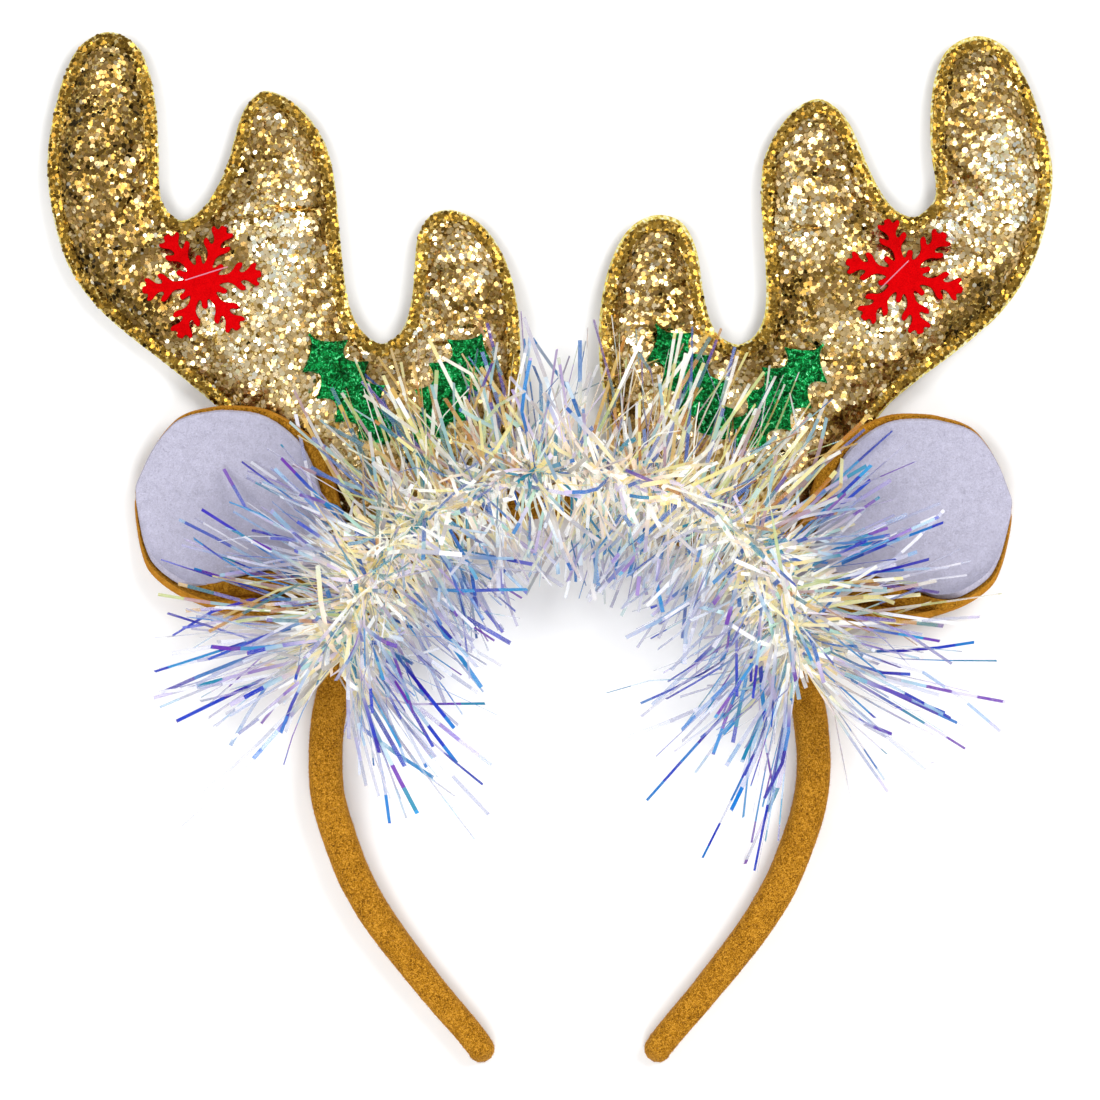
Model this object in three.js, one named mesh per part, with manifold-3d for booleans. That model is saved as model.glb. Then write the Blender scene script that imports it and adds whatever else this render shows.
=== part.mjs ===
// A costume headband with two padded reindeer antlers, felt ears, holly, snowflakes and tinsel.
// It lies on its back: X runs to the right, Y from the tips of the band up to the antlers, and Z
// towards the viewer. The origin is on the back of the band, at the middle of its crown.
import * as THREE from "three";
import { mergeVertices } from "three/addons/utils/BufferGeometryUtils.js";
import Module from "manifold-3d";

const wasm = await Module();
wasm.setup();

// Clearances between separate pieces, in millimetres like every size below.
const SEAM_GAP = 0.3;
const TRIM_GAP = 0.5;

// Headband: a springy strap covered in felt.
const BAND_SPAN = 127;
const BAND_DROP = 146;
const BAND_SHOULDER = 68;
const BAND_WIDTH = 8.6;
const BAND_DEPTH = 10;
const BAND_CORNER = 2.2;
const BAND_TAPER = 70;
const BAND_TIP_SHARE = 0.8;
const BAND_TIP_ROUND = 2.4;
const BAND_TIP_END = 0.5;
const BAND_STEP = 9;

// Antlers: two glitter cloths sewn together flat at the rim and stuffed between the seams.
const ANTLER_LEFT_REACH = 135.5;
const ANTLER_LEFT_HEIGHT = 121.3;
const ANTLER_RIGHT_REACH = 124.9;
const ANTLER_RIGHT_HEIGHT = 119.5;
const ANTLER_BASE_NEAR = 16;
const ANTLER_BASE_FAR = 50;
const ANTLER_RIM = 3;
const ANTLER_RIM_DEPTH = 2.4;
const ANTLER_PAD_DEPTH = 10.4;
const ANTLER_PAD_RISE = 10;
const ANTLER_GRID = 6.8;

// Snowflakes die-cut from felt, and holly leaves cut from crinkled foil cloth.
const SNOWFLAKE_RADIUS = 16.2;
const SNOWFLAKE_THICKNESS = 1.2;
const LEAF_LENGTH = 35;
const LEAF_WIDTH = 17;
const LEAF_THICKNESS = 1.1;
const LEAF_CROWN = 0.9;

// Ears: a pale felt lining on a larger brown felt, cupped, and curled up along the lower edge.
const EAR_LENGTH = 62.2;
const EAR_UPPER = 35;
const EAR_LOWER = 22.5;
const EAR_SKIRT = 7;
const EAR_LINING_INSET = 0.85;
const EAR_FELT = 1.5;
const EAR_SEAM = 0.65;
const EAR_LIFT = 5.2;
const EAR_ROLL = 10;
const EAR_BASE_AT = 62;
const EAR_LEFT_TILT = 25;
const EAR_RIGHT_TILT = 21;

// Tinsel garland laid along the front of the band over the roots of the antlers and ears.
const TINSEL_HALF_LENGTH = 76;
const TINSEL_CORE_RADIUS = 6.2;
const TINSEL_END_SHARE = 0.45;
const TINSEL_CORE_LUMPS = 0.07;
const TINSEL_SHIFT = 7.5;
const TINSEL_REACH = 37;
const TINSEL_FRONT_SHORT = 0.2;
const TINSEL_LOCK_WIDTH = 6;
const TINSEL_LOCK_DEPTH = 2.2;
const TINSEL_LOCK_SPACING = 10.6;

// The arms below their widest place: down as a share of the way to the tips, out of the half span.
const ARM_ROWS = [
  { down: 0.13, out: 0.987 },
  { down: 0.26, out: 0.940 },
  { down: 0.40, out: 0.872 },
  { down: 0.53, out: 0.780 },
  { down: 0.66, out: 0.662 },
  { down: 0.80, out: 0.524 },
  { down: 0.93, out: 0.389 },
  { down: 1.00, out: 0.335 },
];

// Outlines of the antlers, from the outer end of the root round the three tines to the inner end:
// out as a share of the antler's reach from the middle of the band, up as a share of its height.
const ANTLER_LEFT_ROWS = [
  { out: 0.431, up: -0.076 },
  { out: 0.507, up: 0.020 },
  { out: 0.590, up: 0.117 },
  { out: 0.676, up: 0.203 },
  { out: 0.780, up: 0.299 },
  { out: 0.887, up: 0.395 },
  { out: 0.955, up: 0.492 },
  { out: 0.989, up: 0.610 },
  { out: 1.000, up: 0.717 },
  { out: 0.985, up: 0.839 },
  { out: 0.943, up: 0.963 },
  { out: 0.886, up: 1.000 },
  { out: 0.830, up: 0.968 },
  { out: 0.799, up: 0.861 },
  { out: 0.791, up: 0.728 },
  { out: 0.784, up: 0.636 },
  { out: 0.745, up: 0.595 },
  { out: 0.696, up: 0.631 },
  { out: 0.653, up: 0.723 },
  { out: 0.626, up: 0.826 },
  { out: 0.588, up: 0.873 },
  { out: 0.523, up: 0.841 },
  { out: 0.467, up: 0.749 },
  { out: 0.446, up: 0.599 },
  { out: 0.433, up: 0.460 },
  { out: 0.410, up: 0.374 },
  { out: 0.362, up: 0.331 },
  { out: 0.319, up: 0.363 },
  { out: 0.298, up: 0.449 },
  { out: 0.289, up: 0.561 },
  { out: 0.264, up: 0.608 },
  { out: 0.225, up: 0.618 },
  { out: 0.172, up: 0.588 },
  { out: 0.128, up: 0.518 },
  { out: 0.103, up: 0.417 },
  { out: 0.097, up: 0.299 },
  { out: 0.105, up: 0.170 },
];
const ANTLER_RIGHT_ROWS = [
  { out: 0.467, up: -0.077 },
  { out: 0.551, up: 0.021 },
  { out: 0.609, up: 0.129 },
  { out: 0.659, up: 0.206 },
  { out: 0.773, up: 0.304 },
  { out: 0.888, up: 0.404 },
  { out: 0.959, up: 0.512 },
  { out: 0.992, up: 0.626 },
  { out: 1.000, up: 0.728 },
  { out: 0.969, up: 0.860 },
  { out: 0.913, up: 0.971 },
  { out: 0.850, up: 1.000 },
  { out: 0.788, up: 0.969 },
  { out: 0.759, up: 0.874 },
  { out: 0.759, up: 0.743 },
  { out: 0.764, up: 0.656 },
  { out: 0.719, up: 0.612 },
  { out: 0.667, up: 0.636 },
  { out: 0.613, up: 0.728 },
  { out: 0.573, up: 0.823 },
  { out: 0.521, up: 0.867 },
  { out: 0.463, up: 0.837 },
  { out: 0.409, up: 0.743 },
  { out: 0.403, up: 0.641 },
  { out: 0.413, up: 0.499 },
  { out: 0.413, up: 0.408 },
  { out: 0.392, up: 0.356 },
  { out: 0.351, up: 0.332 },
  { out: 0.303, up: 0.360 },
  { out: 0.278, up: 0.434 },
  { out: 0.261, up: 0.532 },
  { out: 0.228, up: 0.597 },
  { out: 0.180, up: 0.610 },
  { out: 0.130, up: 0.584 },
  { out: 0.091, up: 0.517 },
  { out: 0.070, up: 0.423 },
  { out: 0.068, up: 0.304 },
  { out: 0.088, up: 0.173 },
];

// Half of a snowflake's arm as shares of its radius, from the hub to the tip.
const SNOWFLAKE_ARM = [
  { along: 0.29, across: 0.075 },
  { along: 0.47, across: 0.075 },
  { along: 0.60, across: 0.245 },
  { along: 0.70, across: 0.225 },
  { along: 0.69, across: 0.165 },
  { along: 0.61, across: 0.075 },
  { along: 0.72, across: 0.075 },
  { along: 0.84, across: 0.205 },
  { along: 0.93, across: 0.175 },
  { along: 0.87, across: 0.070 },
  { along: 0.97, across: 0.065 },
];
const SNOWFLAKE_SPIKE = { along: 0.44, across: 0.055, root: 0.30 };
const SNOWFLAKE_ARMS = 6;

// A holly leaf from its tip to its foot: half its width swings between lobe and hollow.
const LEAF_ROWS = [
  { at: 0.00, half: 0.04 },
  { at: 0.10, half: 0.20 },
  { at: 0.20, half: 0.86 },
  { at: 0.30, half: 0.46 },
  { at: 0.42, half: 1.00 },
  { at: 0.52, half: 0.58 },
  { at: 0.64, half: 0.96 },
  { at: 0.74, half: 0.46 },
  { at: 0.84, half: 0.66 },
  { at: 1.00, half: 0.08 },
];

// Sections of an ear from the band to its outer end. up and down are the felt's widths on each
// side of the middle as shares of the widest, the curls are in degrees at the edges, and skirt is
// how far the brown felt shows past the pale one along the upper edge.
const EAR_ROWS = [
  { at: 0.00, up: 0.15, down: 0.20, curlUp: 30, curlDown: 70, skirt: 0.10 },
  { at: 0.10, up: 0.24, down: 0.44, curlUp: 34, curlDown: 108, skirt: 0.70 },
  { at: 0.20, up: 0.40, down: 0.74, curlUp: 34, curlDown: 128, skirt: 1.00 },
  { at: 0.33, up: 0.72, down: 0.95, curlUp: 32, curlDown: 130, skirt: 0.85 },
  { at: 0.48, up: 0.95, down: 1.00, curlUp: 28, curlDown: 115, skirt: 0.30 },
  { at: 0.64, up: 1.00, down: 0.91, curlUp: 24, curlDown: 90, skirt: 0.15 },
  { at: 0.79, up: 0.96, down: 0.71, curlUp: 20, curlDown: 65, skirt: 0.10 },
  { at: 0.90, up: 0.84, down: 0.47, curlUp: 16, curlDown: 42, skirt: 0.10 },
  { at: 0.97, up: 0.62, down: 0.25, curlUp: 12, curlDown: 28, skirt: 0.10 },
  { at: 1.00, up: 0.30, down: 0.08, curlUp: 10, curlDown: 18, skirt: 0.10 },
];
const EAR_FLAT_SHARE = 0.35;
const EAR_COLUMNS = 11;

// The garland sits past the crown of the band and comes back onto it at both ends. Its locks rise
// from the plane of the band at these angles in degrees, 0 away from the head and 180 towards it,
// no lower over the ears than their edges allow, and lean along the arms at the garland's ends.
const TINSEL_ROWS = [
  { at: 0.00, shift: 1.00 },
  { at: 0.30, shift: 1.08 },
  { at: 0.60, shift: 0.95 },
  { at: 0.84, shift: 0.52 },
  { at: 1.00, shift: 0.12 },
];
const TINSEL_LOCK_ANGLES = [14, 50, 90, 132, 170];
const TINSEL_LOWEST = 9;
const TINSEL_LOWEST_OVER_EARS = 24;
const TINSEL_HIGHEST_INWARD = 174;
const TINSEL_END_LEAN = 48;
const TINSEL_CORE_SIDES = 8;

// A lock's width and depth as shares of the fullest, and where they stand: the root as a share of
// the core's radius, the others of the lock's length.
const TINSEL_LOCK = {
  root: { at: 0.55, width: 0.55, depth: 1 },
  middle: { at: 0.6, width: 1, depth: 1 },
  tip: { at: 1, width: 0.45, depth: 0.6 },
};

// How unevenly the locks are set: along the garland as a share of their spacing, in lift and lean
// in degrees, and in length as a share of their reach.
const TINSEL_UNEVEN = { place: 0.35, lift: 12, lean: 14, length: 0.12 };

const FELT_BROWN = new THREE.MeshStandardMaterial({ color: 0xb57a18, roughness: 0.95 });
const FELT_PALE = new THREE.MeshStandardMaterial({ color: 0xd3cfe0, roughness: 0.95 });
const FELT_RED = new THREE.MeshStandardMaterial({ color: 0xda0010, roughness: 0.9 });
const GLITTER_GOLD = new THREE.MeshStandardMaterial({ color: 0xb9974a, roughness: 0.35, metalness: 0.8 });
const FOIL_GREEN = new THREE.MeshStandardMaterial({ color: 0x0e7a3c, roughness: 0.4, metalness: 0.6 });
const TINSEL_FILM = new THREE.MeshStandardMaterial({ color: 0xc9cde0, roughness: 0.15, metalness: 0.4 });

const clamp = THREE.MathUtils.clamp;
const radians = THREE.MathUtils.degToRad;

// The same uneven value between -1 and 1 for the same two counting numbers.
function uneven(first, second) {
  const wave = Math.sin(first * 12.9898 + second * 78.233) * 43758.5453;
  return 2 * (wave - Math.floor(wave)) - 1;
}

// A column of a table, read on straight lines between its rows.
function readRows(rows, key, at) {
  let low = 0;
  while (low < rows.length - 2 && rows[low + 1].at < at) low++;
  const share = clamp((at - rows[low].at) / (rows[low + 1].at - rows[low].at), 0, 1);
  return THREE.MathUtils.lerp(rows[low][key], rows[low + 1][key], share);
}

// A closed geometry of the given corners and faces, turned to face out.
function closedGeometry(corners, faces) {
  const cross = new THREE.Vector3();
  let volume = 0;
  for (const [a, b, c] of faces) volume += corners[a].dot(cross.crossVectors(corners[b], corners[c]));
  const turned = volume < 0 ? faces.map(([a, b, c]) => [a, c, b]) : faces;
  const geometry = new THREE.BufferGeometry();
  const numbers = corners.flatMap((corner) => corner.toArray());
  geometry.setAttribute("position", new THREE.Float32BufferAttribute(numbers, 3));
  geometry.setIndex(turned.flat());
  geometry.computeVertexNormals();
  return geometry;
}

// A skin over rings of equal count, closed at both ends.
function loft(rings) {
  const count = rings[0].length;
  const last = (rings.length - 1) * count;
  const faces = [];
  for (let ring = 0; ring < rings.length - 1; ring++) {
    for (let side = 0; side < count; side++) {
      const here = ring * count + side;
      const next = ring * count + ((side + 1) % count);
      faces.push([here, next, here + count], [next, next + count, here + count]);
    }
  }
  for (let side = 1; side < count - 1; side++) {
    faces.push([0, side + 1, side], [last, last + side, last + side + 1]);
  }
  return closedGeometry(rings.flat(), faces);
}

// A sheet between a front and a back grid of points, walled along its edge.
function sheet(front, back) {
  const rows = front.length;
  const columns = front[0].length;
  const backStart = rows * columns;
  const index = (row, column) => row * columns + column;
  const faces = [];
  for (let row = 0; row < rows - 1; row++) {
    for (let column = 0; column < columns - 1; column++) {
      const a = index(row, column);
      const b = index(row + 1, column);
      const c = index(row + 1, column + 1);
      const d = index(row, column + 1);
      faces.push([a, b, c], [a, c, d]);
      faces.push([backStart + a, backStart + c, backStart + b]);
      faces.push([backStart + a, backStart + d, backStart + c]);
    }
  }
  const edge = [];
  for (let row = 0; row < rows - 1; row++) edge.push(index(row, 0));
  for (let column = 0; column < columns - 1; column++) edge.push(index(rows - 1, column));
  for (let row = rows - 1; row > 0; row--) edge.push(index(row, columns - 1));
  for (let column = columns - 1; column > 0; column--) edge.push(index(0, column));
  edge.forEach((here, place) => {
    const next = edge[(place + 1) % edge.length];
    faces.push([next, here, backStart + here], [next, backStart + here, backStart + next]);
  });
  return closedGeometry([...front.flat(), ...back.flat()], faces);
}

// Solids for joining and cutting.
function toSolid(geometry) {
  const bare = geometry.clone();
  bare.deleteAttribute("normal");
  bare.deleteAttribute("uv");
  const merged = mergeVertices(bare, 1e-4);
  return new wasm.Manifold(new wasm.Mesh({
    numProp: 3,
    vertProperties: new Float32Array(merged.attributes.position.array),
    triVerts: new Uint32Array(merged.index.array),
  }));
}

function toGeometry(solid) {
  const { vertProperties, triVerts, numProp } = solid.getMesh();
  const geometry = new THREE.BufferGeometry();
  const numbers = [];
  for (let at = 0; at < vertProperties.length; at += numProp) {
    numbers.push(...vertProperties.slice(at, at + 3));
  }
  geometry.setAttribute("position", new THREE.Float32BufferAttribute(numbers, 3));
  geometry.setIndex([...triVerts]);
  geometry.computeVertexNormals();
  return geometry;
}

function namedMesh(name, geometry, material) {
  const mesh = new THREE.Mesh(geometry, material.clone());
  mesh.name = name;
  return mesh;
}

// Headband

// The middle line of the band from the left tip over the crown to the right tip: half an ellipse
// down to the shoulders, then the arms closing in.
function bandCurve() {
  const half = BAND_SPAN / 2;
  const bowSteps = 8;
  const right = [];
  for (let step = 1; step <= bowSteps; step++) {
    const angle = (step / bowSteps) * (Math.PI / 2);
    right.push([half * Math.sin(angle), -BAND_SHOULDER * (1 - Math.cos(angle))]);
  }
  for (const { down, out } of ARM_ROWS) {
    right.push([half * out, -BAND_SHOULDER - (BAND_DROP - BAND_SHOULDER) * down]);
  }
  const left = right.map(([x, y]) => new THREE.Vector3(-x, y, 0)).reverse();
  const points = [...left, new THREE.Vector3(), ...right.map(([x, y]) => new THREE.Vector3(x, y, 0))];
  const curve = new THREE.CatmullRomCurve3(points, false, "centripetal");
  curve.arcLengthDivisions = 1200;
  return curve;
}

const BAND_LINE = bandCurve();
const BAND_LENGTH = BAND_LINE.getLength();

// A place on the band's middle line, by its distance from the crown towards the right, with the
// direction along the line and the direction away from the head.
function bandPlace(distance) {
  const share = clamp(0.5 + distance / BAND_LENGTH, 0, 1);
  const point = BAND_LINE.getPointAt(share);
  const along = BAND_LINE.getTangentAt(share);
  return { point, along, away: new THREE.Vector3(-along.y, along.x, 0) };
}

// The section of the band, flat on its back, front, inner and outer side between round corners.
function bandSection() {
  const corner = [];
  const cornerSteps = 2;
  const centres = [
    [BAND_WIDTH / 2 - BAND_CORNER, BAND_DEPTH - BAND_CORNER, 0],
    [BAND_CORNER - BAND_WIDTH / 2, BAND_DEPTH - BAND_CORNER, 90],
    [BAND_CORNER - BAND_WIDTH / 2, BAND_CORNER, 180],
    [BAND_WIDTH / 2 - BAND_CORNER, BAND_CORNER, 270],
  ];
  for (const [across, deep, start] of centres) {
    for (let step = 0; step <= cornerSteps; step++) {
      const angle = radians(start + (90 * step) / cornerSteps);
      corner.push([across + BAND_CORNER * Math.cos(angle), deep + BAND_CORNER * Math.sin(angle)]);
    }
  }
  return corner;
}

function bandThickness(fromTip) {
  const taper = THREE.MathUtils.smoothstep(fromTip, 0, BAND_TAPER);
  const width = BAND_TIP_SHARE + (1 - BAND_TIP_SHARE) * taper;
  const short = clamp(1 - fromTip / BAND_TIP_ROUND, 0, 1);
  return width * Math.sqrt(1 - (1 - BAND_TIP_END ** 2) * short * short);
}

// An odd number of even steps puts a flat facet across the middle of the crown.
function headband() {
  const section = bandSection();
  const steps = 2 * Math.round(BAND_LENGTH / BAND_STEP / 2) + 1;
  const half = BAND_LENGTH / 2;
  const stations = [-half, -half + BAND_TIP_ROUND / 3];
  for (let step = 0; step <= steps; step++) {
    const inner = half - BAND_TIP_ROUND;
    stations.push(-inner + (2 * inner * step) / steps);
  }
  stations.push(half - BAND_TIP_ROUND / 3, half);
  const rings = stations.map((distance) => {
    const { point, away } = bandPlace(distance);
    const thickness = bandThickness(half - Math.abs(distance));
    return section.map(([across, deep]) => {
      const corner = point.clone().addScaledVector(away, across * thickness);
      return corner.setZ(deep * thickness);
    });
  });
  return loft(rings);
}

// Antlers

// The outline of one antler: a smooth line through its rows, closed along the band it is sewn to.
function antlerOutline(side, reach, height, rows) {
  const seat = BAND_WIDTH / 2 + SEAM_GAP;
  const onBand = (distance) => {
    const { point, away } = bandPlace(side * distance);
    return point.addScaledVector(away, seat);
  };
  const free = rows.map(({ out, up }) => new THREE.Vector3(side * out * reach, up * height, 0));
  const path = [onBand(ANTLER_BASE_FAR), ...free, onBand(ANTLER_BASE_NEAR)];
  const curve = new THREE.CatmullRomCurve3(path, false, "centripetal");
  const outline = curve.getPoints(2 * (path.length - 1));
  const baseSteps = 8;
  for (let step = 1; step < baseSteps; step++) {
    outline.push(onBand(THREE.MathUtils.lerp(ANTLER_BASE_NEAR, ANTLER_BASE_FAR, step / baseSteps)));
  }
  return outline.map(({ x, y }) => new THREE.Vector2(x, y));
}

function isInside(outline, x, y) {
  let inside = false;
  outline.forEach((a, index) => {
    const b = outline[(index + 1) % outline.length];
    if (a.y > y !== b.y > y && x < a.x + ((y - a.y) / (b.y - a.y)) * (b.x - a.x)) inside = !inside;
  });
  return inside;
}

// How far a point lies inside the outline, 0 outside it.
function depthInside(outline, x, y) {
  if (!isInside(outline, x, y)) return 0;
  let nearest = Infinity;
  outline.forEach((a, index) => {
    const b = outline[(index + 1) % outline.length];
    const run = b.clone().sub(a);
    const share = clamp(((x - a.x) * run.x + (y - a.y) * run.y) / run.lengthSq(), 0, 1);
    nearest = Math.min(nearest, Math.hypot(x - a.x - share * run.x, y - a.y - share * run.y));
  });
  return nearest;
}

// Half the antler's thickness: flat along the sewn rim, then swelling to the full padding.
function padHalf(depth) {
  const swell = Math.sin((Math.PI / 2) * clamp((depth - ANTLER_RIM) / ANTLER_PAD_RISE, 0, 1));
  return ANTLER_RIM_DEPTH / 2 + ((ANTLER_PAD_DEPTH - ANTLER_RIM_DEPTH) / 2) * swell;
}

// One padded antler. Its padding is a grid of heights cut to the outline, and it lies flat where
// it would press on the table. top gives the height of its front at any place.
function antler(side, reach, height, rows) {
  const outline = antlerOutline(side, reach, height, rows);
  const middle = BAND_DEPTH / 2;
  const low = new THREE.Vector2(Infinity, Infinity);
  const high = new THREE.Vector2(-Infinity, -Infinity);
  outline.forEach((point) => {
    low.min(point);
    high.max(point);
  });
  const columns = Math.ceil((high.x - low.x) / ANTLER_GRID) + 2;
  const lines = Math.ceil((high.y - low.y) / ANTLER_GRID) + 2;
  const halves = [];
  for (let line = 0; line <= lines; line++) {
    halves.push([]);
    for (let column = 0; column <= columns; column++) {
      const x = low.x + (column - 1) * ANTLER_GRID;
      const y = low.y + (line - 1) * ANTLER_GRID;
      halves[line].push(padHalf(depthInside(outline, x, y)));
    }
  }
  const place = (line, column, z) => new THREE.Vector3(
    low.x + (column - 1) * ANTLER_GRID, low.y + (line - 1) * ANTLER_GRID, z);
  const front = halves.map((row, line) => row.map((half, column) => place(line, column, middle + half)));
  const back = halves.map((row, line) => row.map((half, column) =>
    place(line, column, Math.max(0, middle - half))));
  const pad = toSolid(sheet(front, back));
  const block = new THREE.ExtrudeGeometry(new THREE.Shape(outline), {
    depth: BAND_DEPTH + ANTLER_PAD_DEPTH,
    bevelEnabled: false,
  });
  block.translate(0, 0, -ANTLER_PAD_DEPTH / 2);
  const solid = pad.intersect(toSolid(block));

  // The front's height on the grid's own triangles.
  const heightAt = (x, y) => {
    const across = (x - low.x) / ANTLER_GRID + 1;
    const up = (y - low.y) / ANTLER_GRID + 1;
    const column = clamp(Math.floor(across), 0, columns - 1);
    const line = clamp(Math.floor(up), 0, lines - 1);
    const u = across - column;
    const v = up - line;
    const start = halves[line][column];
    const opposite = halves[line + 1][column + 1];
    const half = v > u
      ? start + v * (halves[line + 1][column] - start) + u * (opposite - halves[line + 1][column])
      : start + u * (halves[line][column + 1] - start) + v * (opposite - halves[line][column + 1]);
    return middle + half;
  };

  // The height that stiff felt or foil bridges over: the highest facet close around a place.
  const top = (x, y) => {
    const around = [[0, 0], [1, 0], [-1, 0], [0, 1], [0, -1]];
    return Math.max(...around.map(([across, up]) => heightAt(x + across, y + up)));
  };
  const spot = (out, up) => new THREE.Vector2(side * out * reach, up * height);
  return { geometry: toGeometry(solid), top, spot, side };
}

// Snowflakes

// A six-armed star with two pairs of twigs on each arm and a short spike between the arms,
// bent over the padding that it is stitched to.
function snowflake(carrier, out, up, turn) {
  const centre = carrier.spot(out, up);
  const points = [];
  const addPolar = (along, across, angle) => {
    const x = SNOWFLAKE_RADIUS * (along * Math.cos(angle) - across * Math.sin(angle));
    const y = SNOWFLAKE_RADIUS * (along * Math.sin(angle) + across * Math.cos(angle));
    points.push(new THREE.Vector2(centre.x + x, centre.y + y));
  };
  for (let arm = 0; arm < SNOWFLAKE_ARMS; arm++) {
    const angle = radians(turn) + (arm * 2 * Math.PI) / SNOWFLAKE_ARMS;
    const between = angle + Math.PI / SNOWFLAKE_ARMS;
    SNOWFLAKE_ARM.forEach(({ along, across }) => addPolar(along, -across, angle));
    [...SNOWFLAKE_ARM].reverse().forEach(({ along, across }) => addPolar(along, across, angle));
    addPolar(SNOWFLAKE_SPIKE.root, -SNOWFLAKE_SPIKE.across, between);
    addPolar(SNOWFLAKE_SPIKE.along, -SNOWFLAKE_SPIKE.across, between);
    addPolar(SNOWFLAKE_SPIKE.along, SNOWFLAKE_SPIKE.across, between);
    addPolar(SNOWFLAKE_SPIKE.root, SNOWFLAKE_SPIKE.across, between);
  }
  const flat = new THREE.ExtrudeGeometry(new THREE.Shape(points), {
    depth: SNOWFLAKE_THICKNESS,
    bevelEnabled: false,
  });
  flat.deleteAttribute("normal");
  flat.deleteAttribute("uv");
  const geometry = mergeVertices(flat, 1e-4);
  const place = geometry.attributes.position;
  for (let index = 0; index < place.count; index++) {
    place.setZ(index, place.getZ(index) + carrier.top(place.getX(index), place.getY(index)) + TRIM_GAP);
  }
  geometry.computeVertexNormals();
  return geometry;
}

// Holly leaves

// A leaf whose midrib stands proud of its edges, from its tip towards its foot. turn is the
// angle from straight down, positive away from the middle of the headband.
function hollyLeaf(carrier, out, up, turn) {
  const tip = carrier.spot(out, up);
  const angle = radians(turn);
  const along = new THREE.Vector2(carrier.side * Math.sin(angle), -Math.cos(angle));
  const across = new THREE.Vector2(-along.y, along.x);
  const columns = [-1, -0.5, 0, 0.5, 1];
  const grid = (lift) => LEAF_ROWS.map(({ at, half }) => columns.map((column) => {
    const x = tip.x + along.x * at * LEAF_LENGTH + across.x * column * half * (LEAF_WIDTH / 2);
    const y = tip.y + along.y * at * LEAF_LENGTH + across.y * column * half * (LEAF_WIDTH / 2);
    const crown = LEAF_CROWN * (1 - Math.abs(column)) * Math.sin(Math.PI * at);
    return new THREE.Vector3(x, y, carrier.top(x, y) + TRIM_GAP + crown + lift);
  }));
  return sheet(grid(LEAF_THICKNESS), grid(0));
}

// Ears

// The felt's slope in its cross-section, by the distance from the middle towards the upper edge.
function earSlope(distance, row) {
  const width = distance > 0 ? row.up : row.down;
  const bend = clamp((Math.abs(distance) / width - EAR_FLAT_SHARE) / (1 - EAR_FLAT_SHARE), 0, 1);
  const end = distance > 0 ? row.curlUp : -row.curlDown;
  return radians(THREE.MathUtils.lerp(EAR_ROLL, end, bend));
}

// One felt of an ear, between two offsets from the surface where the two felts meet.
function earFelt(side, tilt, from, to, isLining) {
  const { point, away } = bandPlace(side * EAR_BASE_AT);
  const base = point.addScaledVector(away, BAND_WIDTH / 2 + SEAM_GAP);
  const along = new THREE.Vector3(side * Math.cos(radians(tilt)), Math.sin(radians(tilt)), 0);
  const upward = new THREE.Vector3(-side * along.y, side * along.x, 0);
  const root = EAR_ROWS[0];
  const clearOfBand = Math.abs(away.dot(upward)) * Math.max(root.up * EAR_UPPER, root.down * EAR_LOWER);
  const grid = (offset) => EAR_ROWS.map((entry) => {
    const skirt = EAR_SKIRT * entry.skirt;
    const row = { ...entry, up: entry.up * EAR_UPPER + skirt, down: entry.down * EAR_LOWER };
    const edgeUp = isLining ? row.up - skirt : row.up;
    const edgeDown = isLining ? row.down - EAR_LINING_INSET : row.down;
    const origin = base.clone().addScaledVector(along, clearOfBand + entry.at * EAR_LENGTH);
    const line = [];
    for (let column = 0; column <= EAR_COLUMNS; column++) {
      const target = THREE.MathUtils.lerp(-edgeDown, edgeUp, column / EAR_COLUMNS);
      const pieces = 24;
      let sideways = 0;
      let height = 0;
      for (let piece = 0; piece < pieces; piece++) {
        const slope = earSlope((target * (piece + 0.5)) / pieces, row);
        sideways += (target / pieces) * Math.cos(slope);
        height += (target / pieces) * Math.sin(slope);
      }
      const slope = earSlope(target, row);
      sideways -= offset * Math.sin(slope);
      height += offset * Math.cos(slope);
      line.push(origin.clone().addScaledVector(upward, sideways).setZ(EAR_LIFT + height));
    }
    return line;
  });
  return sheet(grid(to), grid(from));
}

// Tinsel garland

// The core keeps its radius almost to its blunt ends.
function tinselRadius(distance) {
  const narrowing = (1 - TINSEL_END_SHARE ** 2) * (Math.abs(distance) / TINSEL_HALF_LENGTH) ** 8;
  return TINSEL_CORE_RADIUS * Math.sqrt(1 - narrowing);
}

// The middle of the garland's core, which lies against the front edge of the band.
function tinselPlace(distance) {
  const { point, along, away } = bandPlace(distance);
  const shift = TINSEL_SHIFT * readRows(TINSEL_ROWS, "shift", Math.abs(distance) / TINSEL_HALF_LENGTH);
  const pastFlat = Math.max(0, shift - BAND_WIDTH / 2 + BAND_CORNER);
  const seat = tinselRadius(distance) + SEAM_GAP + BAND_CORNER;
  const height = BAND_DEPTH - BAND_CORNER + Math.sqrt(Math.max(0, seat * seat - pastFlat * pastFlat));
  return { point: point.addScaledVector(away, shift).setZ(height), along, away };
}

// The crumpled core of the garland, thinner towards its ends.
function tinselCore() {
  const steps = 3 * Math.round(TINSEL_HALF_LENGTH / TINSEL_LOCK_SPACING);
  const rings = [];
  for (let step = 0; step <= steps; step++) {
    const distance = TINSEL_HALF_LENGTH * ((2 * step) / steps - 1);
    const { point, away } = tinselPlace(distance);
    rings.push(Array.from({ length: TINSEL_CORE_SIDES }, (_, side) => {
      const angle = (2 * Math.PI * side) / TINSEL_CORE_SIDES;
      const lump = TINSEL_CORE_LUMPS * (1 - uneven(step, side));
      const radius = tinselRadius(distance) * (1 - lump);
      return point.clone()
        .addScaledVector(away, radius * Math.cos(angle))
        .add(new THREE.Vector3(0, 0, radius * Math.sin(angle)));
    }));
  }
  return loft(rings);
}

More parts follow.
